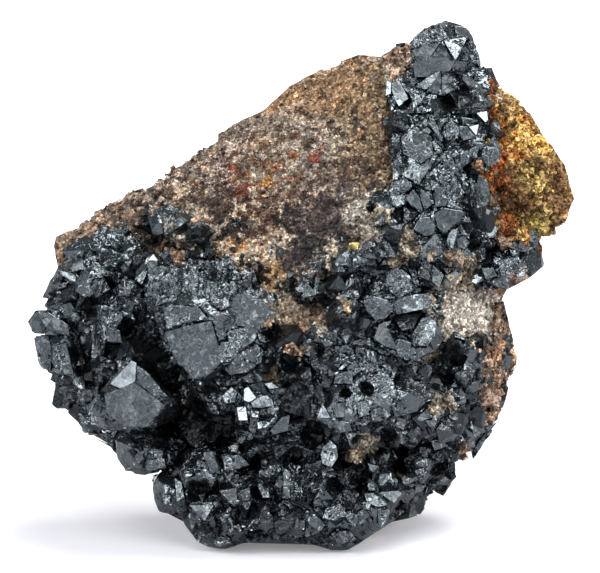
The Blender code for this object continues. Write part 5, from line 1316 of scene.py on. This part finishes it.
def add_facets(target, name):
    for body, hackle, answer in facet_bodies[name]:
        layer = body.faces.layers.float.new("hackle")
        if hackle >= 0.5:
            divide_finely(body, FINE_EDGE)
            body.normal_update()
            for vert in body.verts:
                x, h, d = place_of(vert.co)
                place = Vector((x, h * 0.5, d))
                push = cell_tilt(place, 1.7) * 0.6 + cell_tilt(place, 0.8) * 0.5
                vert.co += vert.normal * push * hackle * MM
        for face in body.faces:
            face[layer] = hackle
            # Painted shade: facets drawn dark get the dimmer plain copy of the crystal material, the others the
            # bright copy.
            face.material_index = PLAIN if answer == DARK else BRIGHT
        before = bpy.data.meshes.new("facets")
        body.to_mesh(before)
        body.free()
        target.from_mesh(before)
        bpy.data.meshes.remove(before)


# %% [markdown]
# ## Crystals scattered on the rock
# Past the edge of the crust single crystals and small clumps sit on the rock, half sunk in it.

# %% Scattered crystals
SCATTER = {
    # node whose crystals these join: (x, h, reach in mm, how many)
    "upper_left_matrix_crystals": [
        (-20, 45.5, 4.2, 70), (-27, 44, 3.6, 40), (-14.4, 43.6, 3.4, 40), (-32.6, 42, 2.4, 16),
        (-22, 49, 2, 8), (-9.4, 46, 2, 6), (-18.6, 42, 3, 20), (-24.4, 42.4, 3, 20)],
    "middle_matrix_crystals": [
        (2.6, 40.6, 3.6, 34), (8.6, 43, 3, 26), (-1, 37.4, 3.4, 28), (-4, 43.4, 2.6, 8),
        (-9, 41, 2.6, 16), (11, 50, 1.6, 6), (-5.4, 38.4, 2.4, 16), (5.4, 38.6, 2.6, 26)],
}


def scattered_spots(zones, seed):
    """Places for single crystals on the rock's own skin inside the zones."""
    rng = np.random.default_rng(seed)
    spots = []
    for zone_x, zone_h, reach, count in zones:
        for _ in range(count):
            x = zone_x + rng.normal() * reach * 0.55
            h = zone_h + rng.normal() * reach * 0.45
            hit, normal, _, _ = skin_tree.ray_cast(at(x, h, -40), -to_eye)
            if hit is None or hides_brass(x, h):
                continue
            size = 0.5 * float(np.exp(rng.normal() * 0.4))
            spots.append((tuple(hit), tuple(normal), size * MM))
    return spots


# %% [markdown]
# ## Sugary grains
# The bleached and rusty rock that shows through the crust is a sugar of small grains, not a
# smooth skin. A few blunt blocks make these grains. Each grain gets its own brightness, kept in
# the same face value that holds the hackle of a crystal.

# %% Grains on the matrix and the lobe


grain_shapes = []
for number in range(5):
    bm = bmesh.new()
    bmesh.ops.create_cube(bm, size=1.5)
    for vert in bm.verts:
        vert.co *= chance.uniform(0.55, 1.15)
    bmesh.ops.recalc_face_normals(bm, faces=bm.faces)
    mesh = bpy.data.meshes.new("grain_shape")
    bm.to_mesh(mesh)
    bm.free()
    grain_shapes.append(mesh)


def add_grains(target, points, normals, radius, look_of, seed):
    """Small blocky grains, half sunk, on the places where look_of gives a look."""
    rng = np.random.default_rng(seed)
    wanted = []
    for point, normal in zip(points, normals):
        look = look_of(point)
        if look is None:
            continue
        size = radius * float(np.exp(rng.normal() * 0.4)) * MM
        middle = Vector(point) + Vector(normal) * size * rng.uniform(-0.5, 0.3)
        turn = random_turn(rng).to_matrix().to_4x4()
        move = Matrix.Translation(middle) @ turn @ Matrix.Scale(size, 4)
        wanted.append((rng.integers(len(grain_shapes)), move, look, rng.uniform(0.02, 1)))
    add_all(target, grain_shapes, wanted)


def crust_grain(point):
    """The look of a grain on the crust, or nothing where there is crystal."""
    return (matrix_at(point) or None) if point[2] > 0.0006 else None


# %% Grow every group
crust_looks = [bright, plain, dull_and_shaded, beige_look, rust_look, stained_look, ochre_look, shaded_hollow_look]
total_crystals = 0
total_faces = 0
for number, (name, (radius, reach)) in enumerate(DRUSE.items()):
    bm = merged_copy(name)
    bmesh.ops.dissolve_limit(bm, angle_limit=math.radians(1), verts=bm.verts, edges=bm.edges)
    spots = growing_spots(bm, radius, reach, 100 + number)
    spots = [spot for spot in spots if not crowds_facet(spot) and within_outline(spot[0])]
    if name in SCATTER:
        spots += scattered_spots(SCATTER[name], 700 + number)
    roughen_crystals(bm)
    grow_crystals(bm, spots, 500 + number, 20)
    sink_hollows(bm)
    add_facets(bm, name)
    plain_copy = merged_copy(name)
    _, _, area = surface_points(plain_copy, 10, 1)
    points, normals, _ = surface_points(plain_copy, area / MM ** 2 * 7, 900 + number)
    plain_copy.free()
    add_grains(bm, points, normals, 0.26, crust_grain, 300 + number)
    total_crystals += len(spots)
    total_faces += len(bm.faces)
    piece_from(name, bm, crust_looks)
print("small crystals", total_crystals, "faces", total_faces)

# %% Rock with its grains
bm = rock_skin
bm.faces.layers.float.new("hackle")
_, _, area = surface_points(bm, 10, 1)
points, normals, _ = surface_points(bm, area / MM ** 2 * 3.3, 15)


def bare(index):
    """True for a place on the front of the rock that no crystal hides."""
    if Vector(normals[index]).dot(to_eye) < 0.05:
        return False
    start = Vector(points[index]) + to_eye * 0.3 * MM
    return whole_crust.ray_cast(start, to_eye)[0] is None


shown = [index for index in range(len(points))
         if points[index][2] > 0.0008 and (index % 24 == 0 or bare(index))]
add_grains(bm, points[shown], normals[shown], 0.22, lambda point: 0, 16)
print("rock faces with grains", len(bm.faces))
piece_from("host_rock", bm, [rock_look])

# %% Lobe with its grains
bm = remeshed(merged_copy("ochre_quartz"), 0.35)
rough_skin(bm, [(5, 1.4), (2.8, 1.5), (1.3, 0.8), (0.7, 0.3)], 9.0)
bm.faces.layers.float.new("hackle")
_, _, area = surface_points(bm, 10, 1)
points, normals, _ = surface_points(bm, area / MM ** 2 * 6, 5)
add_grains(bm, points, normals, 0.27, lambda point: 0, 6)
print("lobe faces", len(bm.faces))
piece_from("ochre_quartz", bm, [ochre_look])

# %% [markdown]
# ## Brassy grains
# Two small grains of a yellow sulphide sit on the matrix. They are metal-bright, with a soft
# tarnish.

# %% Brassy grains
brassy, n, surface = principled("brassy_sulphide")
spot = n.add("ShaderNodeTexCoord").outputs["Object"]
film = n.add("ShaderNodeTexNoise", {"Vector": spot, "Scale": 1500.0, "Detail": 4.0})
n.join(n.mix(n.ramp(film.outputs["Fac"], 0.4, 0.65), (0.5, 0.4, 0.16, 1), (0.3, 0.22, 0.08, 1)),
       surface["Base Color"])
n.join(n.ramp(film.outputs["Fac"], 0.4, 0.65, 0.25, 0.5), surface["Roughness"])
surface["Metallic"].default_value = 0.9
for name in ("brassy_grain_upper", "brassy_grain_lower"):
    bm = merged_copy(name)
    sharp = [edge for edge in bm.edges if edge.calc_face_angle(0) > 0.4]
    bmesh.ops.bevel(bm, geom=sharp, offset=0.05 * MM, segments=2, profile=0.5, affect="EDGES",
                    material=-1, clamp_overlap=True)
    bm.normal_update()
    for vert in bm.verts:
        vert.co += (vert.normal * 0.3 + to_eye * 0.9) * MM
    piece_from(name, bm, [brassy])

# %% [markdown]
# ## Floor, light and camera
# The specimen stands on a plain white floor. One large soft light hangs above and behind it to
# the right, another stands on the left, and the side of the camera stays darker, so that black
# facets that face up flash and the others stay gunmetal. The camera looks down by 12 degrees
# through a long lens.

# %% Floor
bm = bmesh.new()
bmesh.ops.create_grid(bm, x_segments=1, y_segments=1, size=3)
floor_mesh = bpy.data.meshes.new("floor")
bm.to_mesh(floor_mesh)
bm.free()
floor = bpy.data.objects.new("floor", floor_mesh)
bpy.context.scene.collection.objects.link(floor)
floor_look, n, surface = principled("white_floor")
surface["Roughness"].default_value = 0.9
seen = n.add("ShaderNodeLightPath").outputs["Is Camera Ray"]
# Painted shade: the floor is near white to the camera but grey in reflections and bounced light, so the crystals'
# undersides stay dark.
n.join(n.mix(seen, (0.42, 0.42, 0.45, 1), (0.88, 0.88, 0.94, 1)), surface["Base Color"])
spot = n.add("ShaderNodeTexCoord").outputs["Object"]
apart = n.add("ShaderNodeSeparateXYZ", {"Vector": spot})
# Painted light: for the camera only, the floor glows, more strongly towards the back, which brightens it and lifts
# the shadow on it.
painted_floor_glow = n.math("MULTIPLY", n.ramp(apart.outputs["Y"], 0.02, 0.4, 0.2, 0.6), seen)
n.join(n.mix(painted_floor_glow, (0, 0, 0, 1), (0.97, 0.97, 1, 1)), surface["Emission Color"])
surface["Emission Strength"].default_value = 1.0
floor_mesh.materials.append(floor_look)

# %% Lights


def soft_light(name, place, size, radiance, uneven):
    light = bpy.data.lights.new(name, "AREA")
    light.shape = "RECTANGLE"
    light.size, light.size_y = size
    light.energy = radiance * math.pi * size[0] * size[1]
    if uneven:
        light.use_nodes = True
        n = Nodes(light.node_tree)
        across = n.add("ShaderNodeNewGeometry").outputs["Parametric"]
        share = n.add("ShaderNodeSeparateXYZ", {"Vector": across})
        slope = n.ramp(n.math("MULTIPLY", n.math("ADD", share.outputs["X"], share.outputs["Y"]), 0.5),
                       0.25, 0.75, 0.35, 1.65)
        shade = n.add("ShaderNodeCombineColor", {"Red": slope, "Green": slope, "Blue": slope})
        n.join(shade.outputs["Color"], light.node_tree.nodes["Emission"].inputs["Color"])
    thing = bpy.data.objects.new(name, light)
    bpy.context.scene.collection.objects.link(thing)
    thing.location = place
    aim = Vector((0, 0, 0.035)) - Vector(place)
    thing.rotation_euler = aim.to_track_quat("-Z", "Y").to_euler()


for name, (place, size, radiance) in LAMPS.items():
    soft_light(name, place, size, radiance, name.endswith("wall"))

world = bpy.data.worlds.new("studio")
world.use_nodes = True
world.node_tree.nodes["Background"].inputs["Color"].default_value = (0.93, 0.97, 1.0, 1)
world.node_tree.nodes["Background"].inputs["Strength"].default_value = 0.175
bpy.context.scene.world = world

# %% Camera
CAMERA_DISTANCE = 1.2
VIEW_WIDTH = 600 / 7 * MM
target = at(0, (548 - 286.5) / 7, 0)
look_along = Vector((0, math.cos(TILT), -math.sin(TILT)))
camera = bpy.data.cameras.new("camera")
camera.sensor_width = 36
camera.lens = 36 * CAMERA_DISTANCE / VIEW_WIDTH
camera.clip_start = 0.05
camera_thing = bpy.data.objects.new("camera", camera)
bpy.context.scene.collection.objects.link(camera_thing)
camera_thing.location = target - look_along * CAMERA_DISTANCE
camera_thing.rotation_euler = look_along.to_track_quat("-Z", "Y").to_euler()
bpy.context.scene.camera = camera_thing
bpy.context.scene.view_settings.view_transform = "Standard"
print("lens", round(camera.lens))
